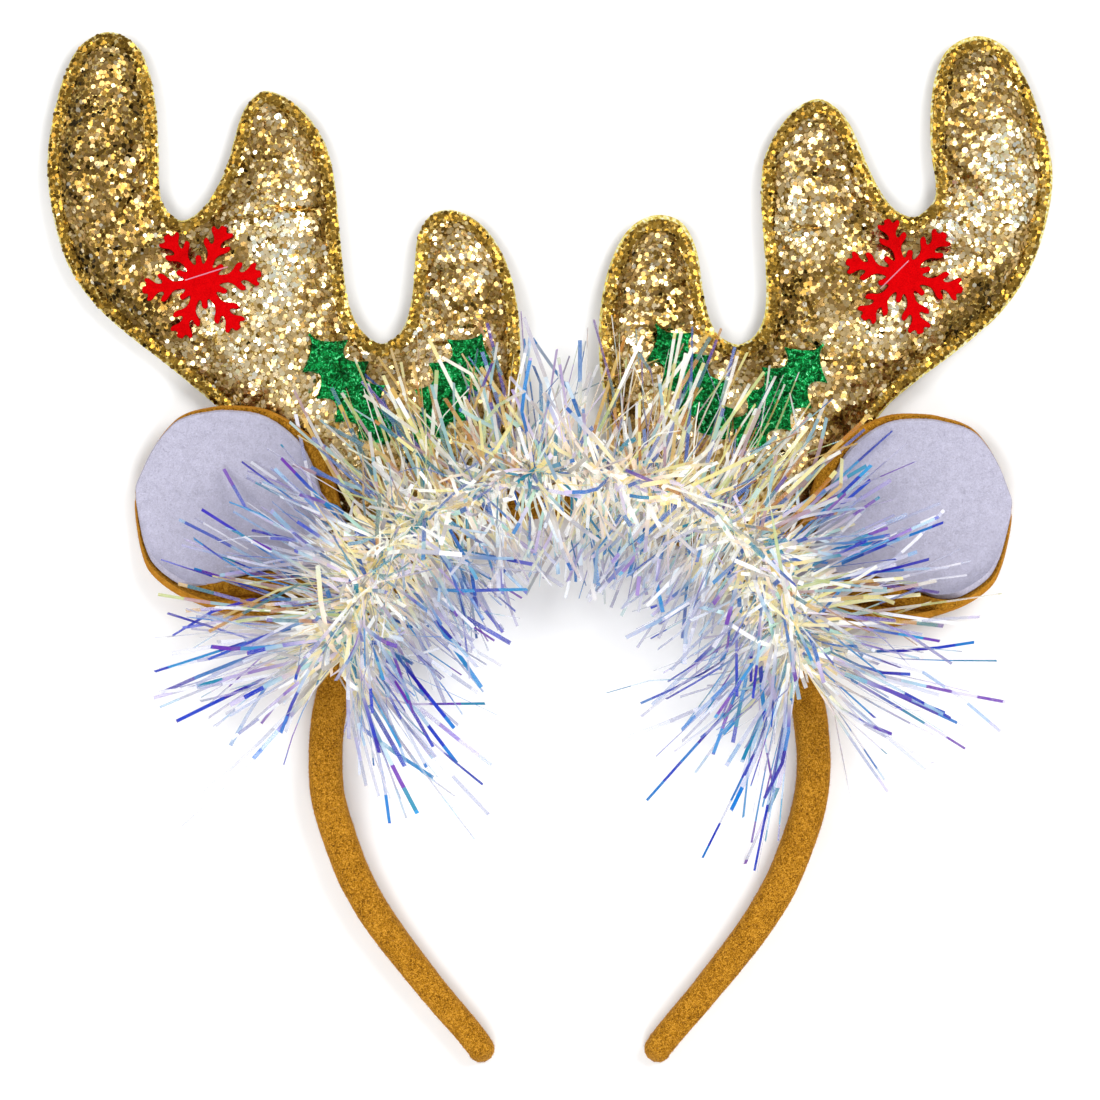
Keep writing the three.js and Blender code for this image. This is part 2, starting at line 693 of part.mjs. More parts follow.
// One lock: a flat tapering bundle of strands from inside the core out to its free end.
function tinselLock(distance, lift, lean, length, twist) {
  const { point, along, away } = tinselPlace(distance);
  const direction = away.clone().multiplyScalar(Math.cos(lift)).setZ(Math.sin(lift));
  direction.multiplyScalar(Math.cos(lean)).addScaledVector(along, Math.sin(lean)).normalize();
  const flat = new THREE.Vector3().crossVectors(direction, along).normalize();
  flat.applyAxisAngle(direction, twist);
  const thin = new THREE.Vector3().crossVectors(direction, flat);
  const bend = TINSEL_LOCK_WIDTH * Math.sin(twist);
  const stations = [
    { ...TINSEL_LOCK.root, at: TINSEL_LOCK.root.at * tinselRadius(distance), sway: 0 },
    { ...TINSEL_LOCK.middle, at: TINSEL_LOCK.middle.at * length, sway: bend },
    { ...TINSEL_LOCK.tip, at: TINSEL_LOCK.tip.at * length, sway: 0 },
  ];
  return loft(stations.map(({ at, width, depth, sway }) => {
    const centre = point.clone().addScaledVector(direction, at).addScaledVector(thin, sway * 0.5);
    return [[1, 1], [-1, 1], [-1, -1], [1, -1]].map(([one, other]) => centre.clone()
      .addScaledVector(flat, (one * width * TINSEL_LOCK_WIDTH) / 2)
      .addScaledVector(thin, (other * depth * TINSEL_LOCK_DEPTH) / 2));
  }));
}

function tinselGarland() {
  let solid = toSolid(tinselCore());
  const count = Math.round(TINSEL_HALF_LENGTH / TINSEL_LOCK_SPACING);
  const spread = TINSEL_HALF_LENGTH - TINSEL_CORE_RADIUS / 2;
  for (let station = -count; station <= count; station++) {
    TINSEL_LOCK_ANGLES.forEach((angle, ring) => {
      const place = station / count;
      const shifted = place + (TINSEL_UNEVEN.place / count) * uneven(station, ring);
      const distance = spread * clamp(shifted, -1, 1);
      const overEars = Math.abs(distance) > ANTLER_BASE_FAR - TINSEL_CORE_RADIUS;
      const lowest = overEars ? TINSEL_LOWEST_OVER_EARS : TINSEL_LOWEST;
      const raised = angle + TINSEL_UNEVEN.lift * uneven(ring, station + 40);
      const lift = clamp(raised, lowest, TINSEL_HIGHEST_INWARD);
      const lean = TINSEL_END_LEAN * place ** 3 + TINSEL_UNEVEN.lean * uneven(station + 7, ring + 3);
      const forward = 1 - TINSEL_FRONT_SHORT * Math.sin(radians(lift)) ** 2;
      const short = TINSEL_UNEVEN.length * (1 - uneven(station + 19, ring + 11));
      const length = TINSEL_REACH * forward * (1 - short);
      const twist = Math.PI * uneven(station + 5, ring + 23);
      solid = solid.add(toSolid(tinselLock(distance, radians(lift), radians(lean), length, twist)));
    });
  }
  return toGeometry(solid);
}

const antlerLeft = antler(-1, ANTLER_LEFT_REACH, ANTLER_LEFT_HEIGHT, ANTLER_LEFT_ROWS);
const antlerRight = antler(1, ANTLER_RIGHT_REACH, ANTLER_RIGHT_HEIGHT, ANTLER_RIGHT_ROWS);

const group = new THREE.Group();
group.name = "reindeer_antler_headband";
group.add(namedMesh("headband", headband(), FELT_BROWN));
group.add(namedMesh("antler_left", antlerLeft.geometry, GLITTER_GOLD));
group.add(namedMesh("antler_right", antlerRight.geometry, GLITTER_GOLD));
group.add(namedMesh("snowflake_left", snowflake(antlerLeft, 0.703, 0.464, 8), FELT_RED));
group.add(namedMesh("snowflake_right", snowflake(antlerRight, 0.694, 0.484, -14), FELT_RED));

const LEAVES = [
  { name: "holly_leaf_left_outer", carrier: antlerLeft, out: 0.498, up: 0.353, turn: -36 },
  { name: "holly_leaf_left_inner", carrier: antlerLeft, out: 0.162, up: 0.361, turn: 30 },
  { name: "holly_leaf_right_inner", carrier: antlerRight, out: 0.178, up: 0.380, turn: 32 },
  { name: "holly_leaf_right_outer", carrier: antlerRight, out: 0.526, up: 0.336, turn: -40 },
];
for (const { name, carrier, out, up, turn } of LEAVES) {
  group.add(namedMesh(name, hollyLeaf(carrier, out, up, turn), FOIL_GREEN));
}

const EARS = [
  { name: "ear_left", side: -1, tilt: EAR_LEFT_TILT },
  { name: "ear_right", side: 1, tilt: EAR_RIGHT_TILT },
];
for (const { name, side, tilt } of EARS) {
  const seam = EAR_SEAM / 2;
  const outer = earFelt(side, tilt, -seam - EAR_FELT, -seam, false);
  const lining = earFelt(side, tilt, seam, seam + EAR_FELT, true);
  group.add(namedMesh(name + "_outer_felt", outer, FELT_BROWN));
  group.add(namedMesh(name + "_lining_felt", lining, FELT_PALE));
}

group.add(namedMesh("tinsel_garland", tinselGarland(), TINSEL_FILM));

export default group;
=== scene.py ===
import math

import bmesh
import bpy
import numpy as np
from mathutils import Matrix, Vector, geometry, noise
from mathutils.bvhtree import BVHTree


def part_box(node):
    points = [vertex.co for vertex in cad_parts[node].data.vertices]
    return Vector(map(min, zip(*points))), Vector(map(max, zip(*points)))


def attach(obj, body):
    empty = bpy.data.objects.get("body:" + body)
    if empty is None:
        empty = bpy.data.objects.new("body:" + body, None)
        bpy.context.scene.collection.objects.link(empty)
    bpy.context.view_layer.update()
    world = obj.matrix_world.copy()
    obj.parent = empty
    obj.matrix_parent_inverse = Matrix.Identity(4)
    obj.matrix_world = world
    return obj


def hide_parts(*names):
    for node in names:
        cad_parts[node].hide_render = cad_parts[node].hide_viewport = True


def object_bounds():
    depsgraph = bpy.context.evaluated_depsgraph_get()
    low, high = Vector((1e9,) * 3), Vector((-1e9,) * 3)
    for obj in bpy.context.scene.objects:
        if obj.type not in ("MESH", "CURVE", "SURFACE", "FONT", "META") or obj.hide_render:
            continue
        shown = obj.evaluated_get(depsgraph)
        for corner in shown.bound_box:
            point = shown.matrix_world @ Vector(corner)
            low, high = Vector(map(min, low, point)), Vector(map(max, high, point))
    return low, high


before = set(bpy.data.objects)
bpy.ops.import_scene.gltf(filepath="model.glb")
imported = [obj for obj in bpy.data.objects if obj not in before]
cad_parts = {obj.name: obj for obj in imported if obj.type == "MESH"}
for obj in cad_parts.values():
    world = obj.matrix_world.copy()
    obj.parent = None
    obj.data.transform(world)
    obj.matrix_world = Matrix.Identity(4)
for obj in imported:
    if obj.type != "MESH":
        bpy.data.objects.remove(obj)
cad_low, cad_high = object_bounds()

MM = 0.001

# ---- Headband ------------------------------------------------------------------------------
# A flat sprung strip, wound in brown needle felt that is glued down on its back. The felt is
# thick enough to round the strip's corners, and it is folded in and pinched shut at both tips.

BAND_SPAN = 127 * MM
BAND_DROP = 146 * MM
BAND_SHOULDER = 68 * MM
BAND_WIDTH = 8.6 * MM
BAND_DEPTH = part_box("headband")[1].z
BAND_CORNER = 2.6 * MM
BAND_TAPER = 70 * MM
BAND_TIP_SHARE = 0.8
BAND_TIP_ROUND = 3.2 * MM
BAND_STEP = 0.9 * MM
BAND_SIDES = 36
# Down the arm and out from the middle, as shares of its drop and of half the span.
BAND_ARM = [(0.13, 0.987), (0.26, 0.940), (0.40, 0.872), (0.53, 0.780),
            (0.66, 0.662), (0.80, 0.524), (0.93, 0.389), (1.00, 0.335)]
# The folds that the pinched end of the felt leaves across each tip: their places from the tip,
# half their width, and their depth as a share of the band's.
BAND_FOLDS = (2.0 * MM, 4.3 * MM)
BAND_FOLD_HALF = 0.35 * MM
BAND_FOLD_SHARE = 0.13
# How far a loose fibre rises, as a share of its reach.
FIBRE_LIE = 0.35


def linear(code):
    """A colour as the renderer mixes it, from the sRGB value of a colour picker."""
    parts = [int(code[at:at + 2], 16) / 255 for at in (1, 3, 5)]
    return [p / 12.92 if p <= 0.04045 else ((p + 0.055) / 1.055) ** 2.4 for p in parts] + [1.0]


def add(tree, kind, links=None, stops=None, **settings):
    """Adds a shader node with its settings, its sockets' values or links, and its colour stops."""
    node = tree.nodes.new("ShaderNode" + kind)
    for name, value in settings.items():
        setattr(node, name, value)
    for socket, value in (links or {}).items():
        if isinstance(value, bpy.types.NodeSocket):
            tree.links.new(value, node.inputs[socket])
        else:
            node.inputs[socket].default_value = value
    if stops:
        while len(node.color_ramp.elements) < len(stops):
            node.color_ramp.elements.new(1.0)
        for element, (place, code) in zip(node.color_ramp.elements, stops):
            element.position = place
            element.color = linear(code)
    return node


def new_material(name):
    stuff = bpy.data.materials.new(name)
    stuff.use_nodes = True
    stuff.node_tree.nodes.clear()
    return stuff, stuff.node_tree


def felt(name, dark, middle, light, sheen, fibre=0.35 * MM, mottled=0.2, shine=0.2,
         spread=0.11):
    """Needle felt: matted fibres a third to half a millimetre apart, dull, mottled and soft."""
    stuff, tree = new_material(name)
    where = add(tree, "TexCoord").outputs["Object"]
    fibres = add(tree, "TexNoise", {"Vector": where, "Scale": 1 / fibre, "Detail": 4.0,
                                    "Roughness": 0.7, "Distortion": 1.5})
    clouds = add(tree, "TexNoise", {"Vector": where, "Scale": 1 / (7 * fibre), "Detail": 3.0,
                                    "Roughness": 0.6})
    both = add(tree, "Mix", {0: mottled, 2: fibres.outputs[0], 3: clouds.outputs[0]},
               data_type="FLOAT")
    tone = add(tree, "ValToRGB", {"Fac": both.outputs[0]},
               stops=[(0.5 - spread, dark), (0.5, middle), (0.5 + spread, light)])
    bump = add(tree, "Bump", {"Strength": 0.55, "Distance": 0.25 * MM, "Height": both.outputs[0]})
    skin = add(tree, "BsdfPrincipled", {
        "Base Color": tone.outputs[0], "Roughness": 0.95, "Specular IOR Level": shine,
        "Sheen Weight": sheen, "Sheen Roughness": 0.4, "Sheen Tint": linear(light),
        "Normal": bump.outputs[0]})
    add(tree, "OutputMaterial", {"Surface": skin.outputs[0]})
    return stuff


def spline(points, steps, closed=False):
    """A smooth line through points, with so many steps to each stretch."""
    path = np.asarray(points, float)
    if closed:
        path = np.vstack([path[-1], path, path[0], path[1]])
    else:
        path = np.vstack([2 * path[0] - path[1], path, 2 * path[-1] - path[-2]])
    gaps = np.maximum(np.linalg.norm(np.diff(path, axis=0), axis=1), 1e-9) ** 0.5
    share = np.arange(steps)[:, None] / steps
    line = []
    for at in range(1, len(path) - 2):
        a, b, c, d = path[at - 1:at + 3]
        before, here, after = gaps[at - 1:at + 2]
        start = ((b - a) / before - (c - a) / (before + here) + (c - b) / here) * here
        end = ((c - b) / here - (d - b) / (here + after) + (d - c) / after) * here
        line.append(b + share * start + share ** 2 * (3 * (c - b) - 2 * start - end)
                    + share ** 3 * (2 * (b - c) + start + end))
    return np.vstack(line) if closed else np.vstack(line + [path[-2]])


def travelled(line):
    """How far each point of a line is from its start, along the line."""
    return np.concatenate([[0], np.cumsum(np.linalg.norm(np.diff(line, axis=0), axis=1))])


def even(line, spacing, closed=False):
    """The same line with its points an even distance apart."""
    path = np.vstack([line, line[:1]]) if closed else line
    travel = travelled(path)
    count = max(3, round(travel[-1] / spacing))
    places = np.linspace(0, travel[-1], count + 1)
    spaced = np.stack([np.interp(places, travel, column) for column in path.T], axis=1)
    return spaced[:-1] if closed else spaced


def unit(vectors):
    return vectors / np.maximum(np.linalg.norm(vectors, axis=-1, keepdims=True), 1e-12)


def rough(point, size, seed=0.0):
    """Smooth unevenness between about -1 and 1, with lumps of the given size."""
    return noise.noise(Vector(point) / size + Vector((seed, 2 * seed, 3 * seed)))


def skin_of_rings(rings):
    """Corners and faces of a closed skin over rings of the same count."""
    count, last = len(rings[0]), len(rings) - 1
    corners = [tuple(corner) for ring in rings for corner in ring]
    faces = []
    for ring in range(last):
        for side in range(count):
            here, beside = ring * count + side, ring * count + (side + 1) % count
            faces.append((here, beside, beside + count, here + count))
    faces.append(tuple(range(count))[::-1])
    faces.append(tuple(range(last * count, (last + 1) * count)))
    return corners, faces


def make_piece(name, corners, faces, materials, stands_for=(), kinds=None, crease=55):
    """One closed piece of the headband, carried by the model's root body."""
    mesh = bpy.data.meshes.new(name)
    mesh.from_pydata([tuple(corner) for corner in corners], [], faces)
    for stuff in materials:
        mesh.materials.append(stuff)
    if kinds is not None:
        mesh.polygons.foreach_set("material_index", kinds)
    mesh.shade_smooth()
    mesh.set_sharp_from_angle(angle=math.radians(crease))
    mesh.update()
    made = bpy.data.objects.new(name, mesh)
    bpy.context.scene.collection.objects.link(made)
    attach(made, "root")
    if stands_for:
        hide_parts(*stands_for)
    return made


def with_fibres(corners, faces, kinds, fibre_kind, count, length, width, seed):
    """A felt's corners, faces and materials, with loose fibres that lie over its front and sides.

    Each fibre is a fine closed spike that starts in a face.
    """
    rng = np.random.default_rng(seed)
    points = np.array(corners, float)
    triangles = np.array([(face[0], face[at], face[at + 1])
                          for face in faces for at in range(1, len(face) - 1)])
    a, b, c = (points[triangles[:, at]] for at in range(3))
    across = np.cross(b - a, c - a)
    areas = np.linalg.norm(across, axis=1)
    areas = np.where(across[:, 2] > -0.5 * areas, areas, 0)
    chosen = rng.choice(len(triangles), count, p=areas / areas.sum())
    first, second = rng.random((2, count, 1))
    over = (first + second) > 1
    first, second = np.where(over, 1 - first, first), np.where(over, 1 - second, second)
    roots = a[chosen] + first * (b - a)[chosen] + second * (c - a)[chosen]
    normals = unit(across[chosen])
    lean = rng.normal(size=(count, 3))
    lean = unit(lean - normals * np.sum(lean * normals, axis=1, keepdims=True))
    reach = length * rng.uniform(0.5, 1.0, (count, 1))
    tips = roots + reach * (lean + normals * FIBRE_LIE * rng.uniform(0.3, 1.6, (count, 1)))
    tips[:, 2] = np.maximum(tips[:, 2], 0.05 * MM)
    sideways = np.cross(lean, normals)
    sunk = roots - normals * width
    foot = [sunk + sideways * width / 2, sunk - sideways * width / 2, sunk + normals * width]
    spikes = np.stack(foot + [tips], axis=1).reshape(-1, 3)
    added = []
    for at in range(len(points), len(points) + 4 * count, 4):
        added += [(at, at + 1, at + 2), (at, at + 3, at + 1),
                  (at + 1, at + 3, at + 2), (at + 2, at + 3, at)]
    return np.vstack([points, spikes]), faces + added, kinds + [fibre_kind] * len(added)


half_span = BAND_SPAN / 2
bow = [(half_span * math.sin(turn), -BAND_SHOULDER * (1 - math.cos(turn)))
       for turn in np.linspace(0, math.pi / 2, 9)[1:]]
arm = [(half_span * out, -BAND_SHOULDER - (BAND_DROP - BAND_SHOULDER) * down)
       for down, out in BAND_ARM]
right_side = bow + arm
BAND_LINE = spline([(-x, y) for x, y in right_side[::-1]] + [(0, 0)] + right_side, 24)
BAND_TRAVEL = travelled(BAND_LINE)
BAND_HALF = BAND_TRAVEL[-1] / 2


def band_place(distance):
    """Places on the band's middle line by their distance from the crown, with both directions."""
    travel = BAND_HALF + np.asarray(distance, float)
    point, ahead, behind = (
        np.stack([np.interp(travel + step, BAND_TRAVEL, column) for column in BAND_LINE.T], axis=-1)
        for step in (0, MM, -MM))
    along = unit(ahead - behind)
    return point, along, np.stack([-along[..., 1], along[..., 0]], axis=-1)


def band_section():
    """The band's section with flat sides between round corners, centred across, from 0 up."""
    corners = []
    for across, deep, start in ((1, 1, 0), (-1, 1, 90), (-1, 0, 180), (1, 0, 270)):
        centre_across = across * (BAND_WIDTH / 2 - BAND_CORNER)
        centre_deep = BAND_DEPTH - BAND_CORNER if deep else BAND_CORNER
        for turn in np.radians(start + np.linspace(0, 90, 5)):
            corners.append((centre_across + BAND_CORNER * math.cos(turn),
                            centre_deep + BAND_CORNER * math.sin(turn)))
    return even(np.array(corners), (2 * BAND_WIDTH + 2 * BAND_DEPTH) / BAND_SIDES, closed=True)


section = band_section()
straight = BAND_HALF - BAND_TIP_ROUND
stations = np.concatenate([
    -BAND_HALF + BAND_TIP_ROUND * (1 - np.cos(np.linspace(0, math.pi / 2, 7)[:-1])),
    np.linspace(-BAND_HALF + BAND_TIP_ROUND, straight, round(2 * BAND_HALF / BAND_STEP)),
    BAND_HALF - BAND_TIP_ROUND * (1 - np.cos(np.linspace(math.pi / 2, 0, 7)[1:]))])
band_rings = []
for distance in stations:
    point, _, away = band_place(distance)
    from_tip = BAND_HALF - abs(distance)
    taper = min(from_tip / BAND_TAPER, 1) ** 2 * (3 - 2 * min(from_tip / BAND_TAPER, 1))
    size = BAND_TIP_SHARE + (1 - BAND_TIP_SHARE) * taper
    size *= math.sqrt(max(0.12, 1 - max(0, 1 - from_tip / BAND_TIP_ROUND) ** 2))
    fold = sum(math.exp(-((from_tip - place) / BAND_FOLD_HALF) ** 2) for place in BAND_FOLDS)
    middle = BAND_DEPTH / 2
    ring = []
    for across, deep in section:
        lump = 1 + 0.035 * rough((point[0], point[1], deep + across), 9 * MM)
        lump += 0.02 * rough((point[0], point[1], 2 * deep), 2.2 * MM, 5.0)
        lump -= BAND_FOLD_SHARE * fold * (deep > middle)
        ring.append((point[0] + away[0] * across * size * lump,
                     point[1] + away[1] * across * size * lump,
                     max(0.0, (middle + (deep - middle) * min(lump, 1.0)) * size)))
    band_rings.append(ring)

BROWN_FELT = felt("brown_needle_felt", "#623C00", "#9E6802", "#CC922E", 0.4, fibre=0.5 * MM,
                  mottled=0.12, spread=0.075)
# The loose fibres get a lighter copy of the brown felt, as a painted sheen on its fuzz.
BROWN_FIBRES = felt("brown_felt_loose_fibres", "#A26C18", "#BC8430", "#D8A658", 0.5)
corners, faces = skin_of_rings(band_rings)
corners, faces, kinds = with_fibres(corners, faces, [0] * len(faces), 1, count=16000,
                                    length=0.9 * MM, width=0.07 * MM, seed=11)
make_piece("band_felt_cover", corners, faces, [BROWN_FELT, BROWN_FIBRES],
           ["headband"], kinds)

# ---- Antlers -------------------------------------------------------------------------------
# Each antler is two pieces of gold glitter cloth, stitched together 3 mm inside their edge and
# stuffed with polyester fibre. The cloth is densely covered with six-sided foil flakes.

ANTLER_RIM = 3.0 * MM
ANTLER_RIM_HALF = 0.95 * MM
ANTLER_SEAM_HALF = 0.65 * MM
ANTLER_PAD_HALF = 5.1 * MM
ANTLER_PAD_RISE = 10.5 * MM
ANTLER_MIDDLE = BAND_DEPTH / 2
ANTLER_EDGE_STEP = 1.1 * MM
ANTLER_GRID = 1.7 * MM
ANTLER_RINGS = [0.5 * MM, 1.3 * MM, 2.2 * MM, 2.7 * MM, 3.1 * MM, 3.6 * MM, 4.6 * MM, 6.0 * MM]
# Unevenness of the stuffed cloth: lumps of two sizes, and puckers that fade from the seam.
LUMP_HIGH, LUMP_SIZE = 0.34 * MM, 15 * MM
RIPPLE_HIGH, RIPPLE_SIZE = 0.16 * MM, 5 * MM
PUCKER_HIGH, PUCKER_SIZE, PUCKER_FADE = 0.5 * MM, 3.4 * MM, 4.5 * MM
FLAKE_RADIUS = 0.74 * MM
FLAKE_SPACING = 1.04 * MM
FLAKE_BACK_SPACING = 1.3 * MM
FLAKE_RIM_RADIUS = 0.58 * MM
# Tints from palest to darkest, each with its share of the flakes.
FLAKE_TINTS = [("#FFF4DA", 0.16), ("#F6E0B4", 0.18), ("#E2C48A", 0.21), ("#BE985A", 0.21),
               ("#9A7838", 0.17), ("#785A24", 0.05), ("#3E3014", 0.02)]
# The rim's flakes get darker tints, as painted shade along the antler's edge.
FLAKE_RIM_TINTS = [("#ECD496", 0.09), ("#C8A456", 0.18), ("#A07C30", 0.30), ("#7C5C22", 0.27),
                   ("#584212", 0.11), ("#34270F", 0.05)]
# How far flakes lean in degrees, and how much painted shade darkens their tints on the padding's
# steep sides.
FLAKE_TILT = 6.5
FLAKE_STEEP_PAINTED_SHADE = 1.9
# What the cloth keeps clear of the table, so that the flakes on its back don't sink into it.
BACK_CLEARANCE = 0.45 * MM
DOWN = Vector((0, 0, -1))
# The filling: its steps, the copy's scale, the pressure, the furthest that cloth moves, and the
# spare length of the cloth as a share.
STUFFING_STEPS = 20
STUFFING_SCALE = 10
STUFFING_PRESSURE = 5.0
STUFFING_CAP = 1.4 * MM
CLOTH_SPARE = 0.045


def turning(line):
    """How sharply a closed line turns left at each of its points."""
    before, after = unit(line - np.roll(line, 1, 0)), unit(np.roll(line, -1, 0) - line)
    return before[:, 0] * after[:, 1] - before[:, 1] * after[:, 0]


def outward(outline):
    """The direction away from a counter-clockwise outline at each of its points."""
    along = np.roll(outline, -1, 0) - np.roll(outline, 1, 0)
    return unit(np.stack([along[:, 1], -along[:, 0]], axis=1))


def front_outline(node):
    """The corners of a CAD node's outline seen from the front, in order, counter-clockwise."""
    shell = bmesh.new()
    shell.from_mesh(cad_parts[node].data)
    bmesh.ops.remove_doubles(shell, verts=shell.verts, dist=0.001 * MM)
    shell.verts.ensure_lookup_table()
    places = np.array([vert.co[:] for vert in shell.verts])
    same = np.linalg.norm(places[:, None, :2] - places[None, :, :2], axis=2) < 0.02 * MM
    higher = places[None, :, 2] > places[:, None, 2] + 0.2 * MM
    is_top = ~np.any(same & higher, axis=1)
    following = {}
    for face in shell.faces:
        if all(is_top[vert.index] for vert in face.verts):
            for loop in face.loops:
                others = [other for other in loop.edge.link_faces if other is not face]
                if not any(all(is_top[vert.index] for vert in other.verts) for other in others):
                    following[loop.vert.index] = loop.link_loop_next.vert.index
    shell.free()
    start = at = min(following, key=lambda index: places[index][0])
    line = []
    for _ in following:
        line.append(places[at][:2])
        at = following[at]
        if at == start:
            break
    line = np.array(line)
    return line[np.abs(turning(line)) > 0.01]


def depth_inside(outline, points):
    """How far points lie from an outline."""
    nearest = np.full(len(points), np.inf)
    for start, run in zip(outline, np.roll(outline, -1, 0) - outline):
        offset = points - start
        share = np.clip(offset @ run / (run @ run), 0, 1)
        nearest = np.minimum(nearest, np.linalg.norm(offset - share[:, None] * run, axis=1))
    return nearest


def inside(outline, points):
    """Which points an outline goes round, by counting its crossings."""
    result = np.zeros(len(points), bool)
    for a, b in zip(outline, np.roll(outline, -1, 0)):
        crosses = (a[1] > points[:, 1]) != (b[1] > points[:, 1])
        rise = b[1] - a[1] if b[1] != a[1] else 1e-12
        result ^= crosses & (points[:, 0] < a[0] + (points[:, 1] - a[1]) / rise * (b[0] - a[0]))
    return result


def hex_grid(outline, spacing, rng=None, jitter=0.0):
    """Points in staggered rows over an outline's box, kept where they are inside it."""
    low, high = outline.min(0), outline.max(0)
    rows = np.arange(low[1], high[1], spacing * math.sqrt(3) / 2)
    columns = np.arange(low[0], high[0], spacing)
    points = np.array([(x + (row % 2) * spacing / 2, y)
                       for row, y in enumerate(rows) for x in columns])
    if rng is not None:
        points = points + rng.uniform(-jitter, jitter, points.shape) * spacing
    return points[inside(outline, points)]


def two_skins(outline, inner, front, back, bulge):
    """A closed form with a front and a back skin over one outline, and a rim that bulges out.

    front and back give heights for rows of points, and bulge the rim's reach at each corner.
    """
    flat = [Vector(point) / MM for point in np.vstack([outline, inner])]
    count = len(outline)
    links = [(at, (at + 1) % count) for at in range(count)]
    made, _, triangles, sources, _, _ = geometry.delaunay_2d_cdt(flat, links, [], 1, 1e-5)
    level = np.array([point[:] for point in made]) * MM
    place = {source: at for at, found in enumerate(sources) for source in found}
    rim = [place[at] for at in range(count)]
    total = len(level)
    edge = level[rim] + outward(outline) * np.reshape(bulge, (-1, 1))
    tops, bottoms = front(level), back(level)
    middle = (tops[rim] + bottoms[rim]) / 2
    corners = np.vstack([np.column_stack([level, tops]), np.column_stack([level, bottoms]),
                         np.column_stack([edge, middle])])
    faces, kinds = [], []
    for triangle in triangles:
        a, b, c = triangle
        turn = np.cross(level[b] - level[a], level[c] - level[a])
        a, b, c = (a, b, c) if turn > 0 else (a, c, b)
        faces += [(a, b, c), (total + a, total + c, total + b)]
        kinds += [0, 0]
    for at in range(count):
        beside = (at + 1) % count
        here, there = 2 * total + at, 2 * total + beside
        faces += [(here, there, rim[beside], rim[at]),
                  (total + rim[at], total + rim[beside], there, here)]
        kinds += [1, 1]
    return corners, faces, kinds


def antler_skin(outline, seed, wrinkles):
    """The stuffed form: a flat rim, the seam's groove, then padding with puckers along the seam."""
    rings = []
    for ring in ANTLER_RINGS:
        moved = outline - outward(outline) * ring
        keep = inside(outline, moved) & (depth_inside(outline, moved) > 0.96 * ring)
        rings.append(moved[keep])
    grid = hex_grid(outline, ANTLER_GRID)
    grid = grid[depth_inside(outline, grid) > ANTLER_RINGS[-1] + 0.6 * ANTLER_GRID]
    inner = np.vstack(rings + [grid])

    def half(points, face):
        depth = depth_inside(outline, points)
        swell = 1 - (1 - np.clip((depth - ANTLER_RIM) / ANTLER_PAD_RISE, 0, 1)) ** 2.2
        rim = ANTLER_RIM_HALF * np.clip(depth / (0.6 * MM), 0.55, 1)
        seam = np.exp(-((depth - ANTLER_RIM) / (0.55 * MM)) ** 2)
        height = rim + (ANTLER_PAD_HALF - ANTLER_RIM_HALF) * swell
        height -= seam * (ANTLER_RIM_HALF - ANTLER_SEAM_HALF)
        for at, point in enumerate(points):
            into = depth[at] - ANTLER_RIM
            if into > 0:
                place = (point[0], point[1], face)
                lumps = LUMP_HIGH * rough(place, LUMP_SIZE, seed)
                lumps += RIPPLE_HIGH * rough(place, RIPPLE_SIZE, seed + 3)
                pucker = PUCKER_HIGH * rough(place, PUCKER_SIZE, seed + 7)
                fade = min(1, into / (2.5 * MM))
                height[at] += lumps * fade + pucker * fade * math.exp(-into / PUCKER_FADE)
            for place, span, deep in wrinkles:
                across = (point[1] - place[1]) - 0.12 * (point[0] - place[0])
                beside = abs(point[0] - place[0]) / span
                if face > 0 and beside < 1:
                    height[at] -= deep * (1 - beside ** 2) * math.exp(-(across / (1.1 * MM)) ** 2)
        return height

    front = lambda points: ANTLER_MIDDLE + half(points, 1.0)
    back = lambda points: np.maximum(BACK_CLEARANCE, ANTLER_MIDDLE - half(points, -1.0))
    return inner, front, back


def stuff(pad, outline):
    """Fills the sewn form: its cloth has a little length to spare, and swells under pressure.

    The cloth solver suits forms of about a metre, so a larger copy is filled.
    """
    mesh = pad.data.copy()
    rest = np.empty(3 * len(mesh.vertices))
    mesh.vertices.foreach_get("co", rest)
    mesh.vertices.foreach_set("co", rest * STUFFING_SCALE)
    rest = rest.reshape(-1, 3)
    filled = bpy.data.objects.new("stuffing", mesh)
    bpy.context.scene.collection.objects.link(filled)
    sewn = filled.vertex_groups.new(name="sewn")
    held = np.flatnonzero(depth_inside(outline, rest[:, :2]) < ANTLER_RIM + 0.4 * MM)
    sewn.add(held.tolist(), 1.0, "REPLACE")
    cloth = filled.modifiers.new("cloth", "CLOTH")
    cloth.settings.vertex_group_mass = "sewn"
    cloth.settings.quality = 6
    cloth.settings.bending_stiffness = 0.8
    cloth.settings.use_pressure = True
    cloth.settings.uniform_pressure_force = STUFFING_PRESSURE
    cloth.settings.shrink_min = -CLOTH_SPARE
    cloth.settings.effector_weights.gravity = 0
    cloth.collision_settings.use_collision = False
    for step in range(STUFFING_STEPS):
        bpy.context.scene.frame_set(step + 1)
    swollen = filled.evaluated_get(bpy.context.evaluated_depsgraph_get()).data
    shaped = np.empty(3 * len(rest))
    swollen.vertices.foreach_get("co", shaped)
    moved = shaped.reshape(-1, 3) / STUFFING_SCALE - rest
    far = np.linalg.norm(moved, axis=1, keepdims=True)
    moved *= np.minimum(1, STUFFING_CAP / np.maximum(far, 1e-9))
    shaped = rest + moved
    shaped[:, 2] = np.clip(shaped[:, 2], BACK_CLEARANCE, cad_high.z)
    pad.data.vertices.foreach_set("co", shaped.ravel())
    pad.data.update()
    bpy.data.objects.remove(filled)
    bpy.data.meshes.remove(mesh)
    bpy.context.scene.frame_set(1)


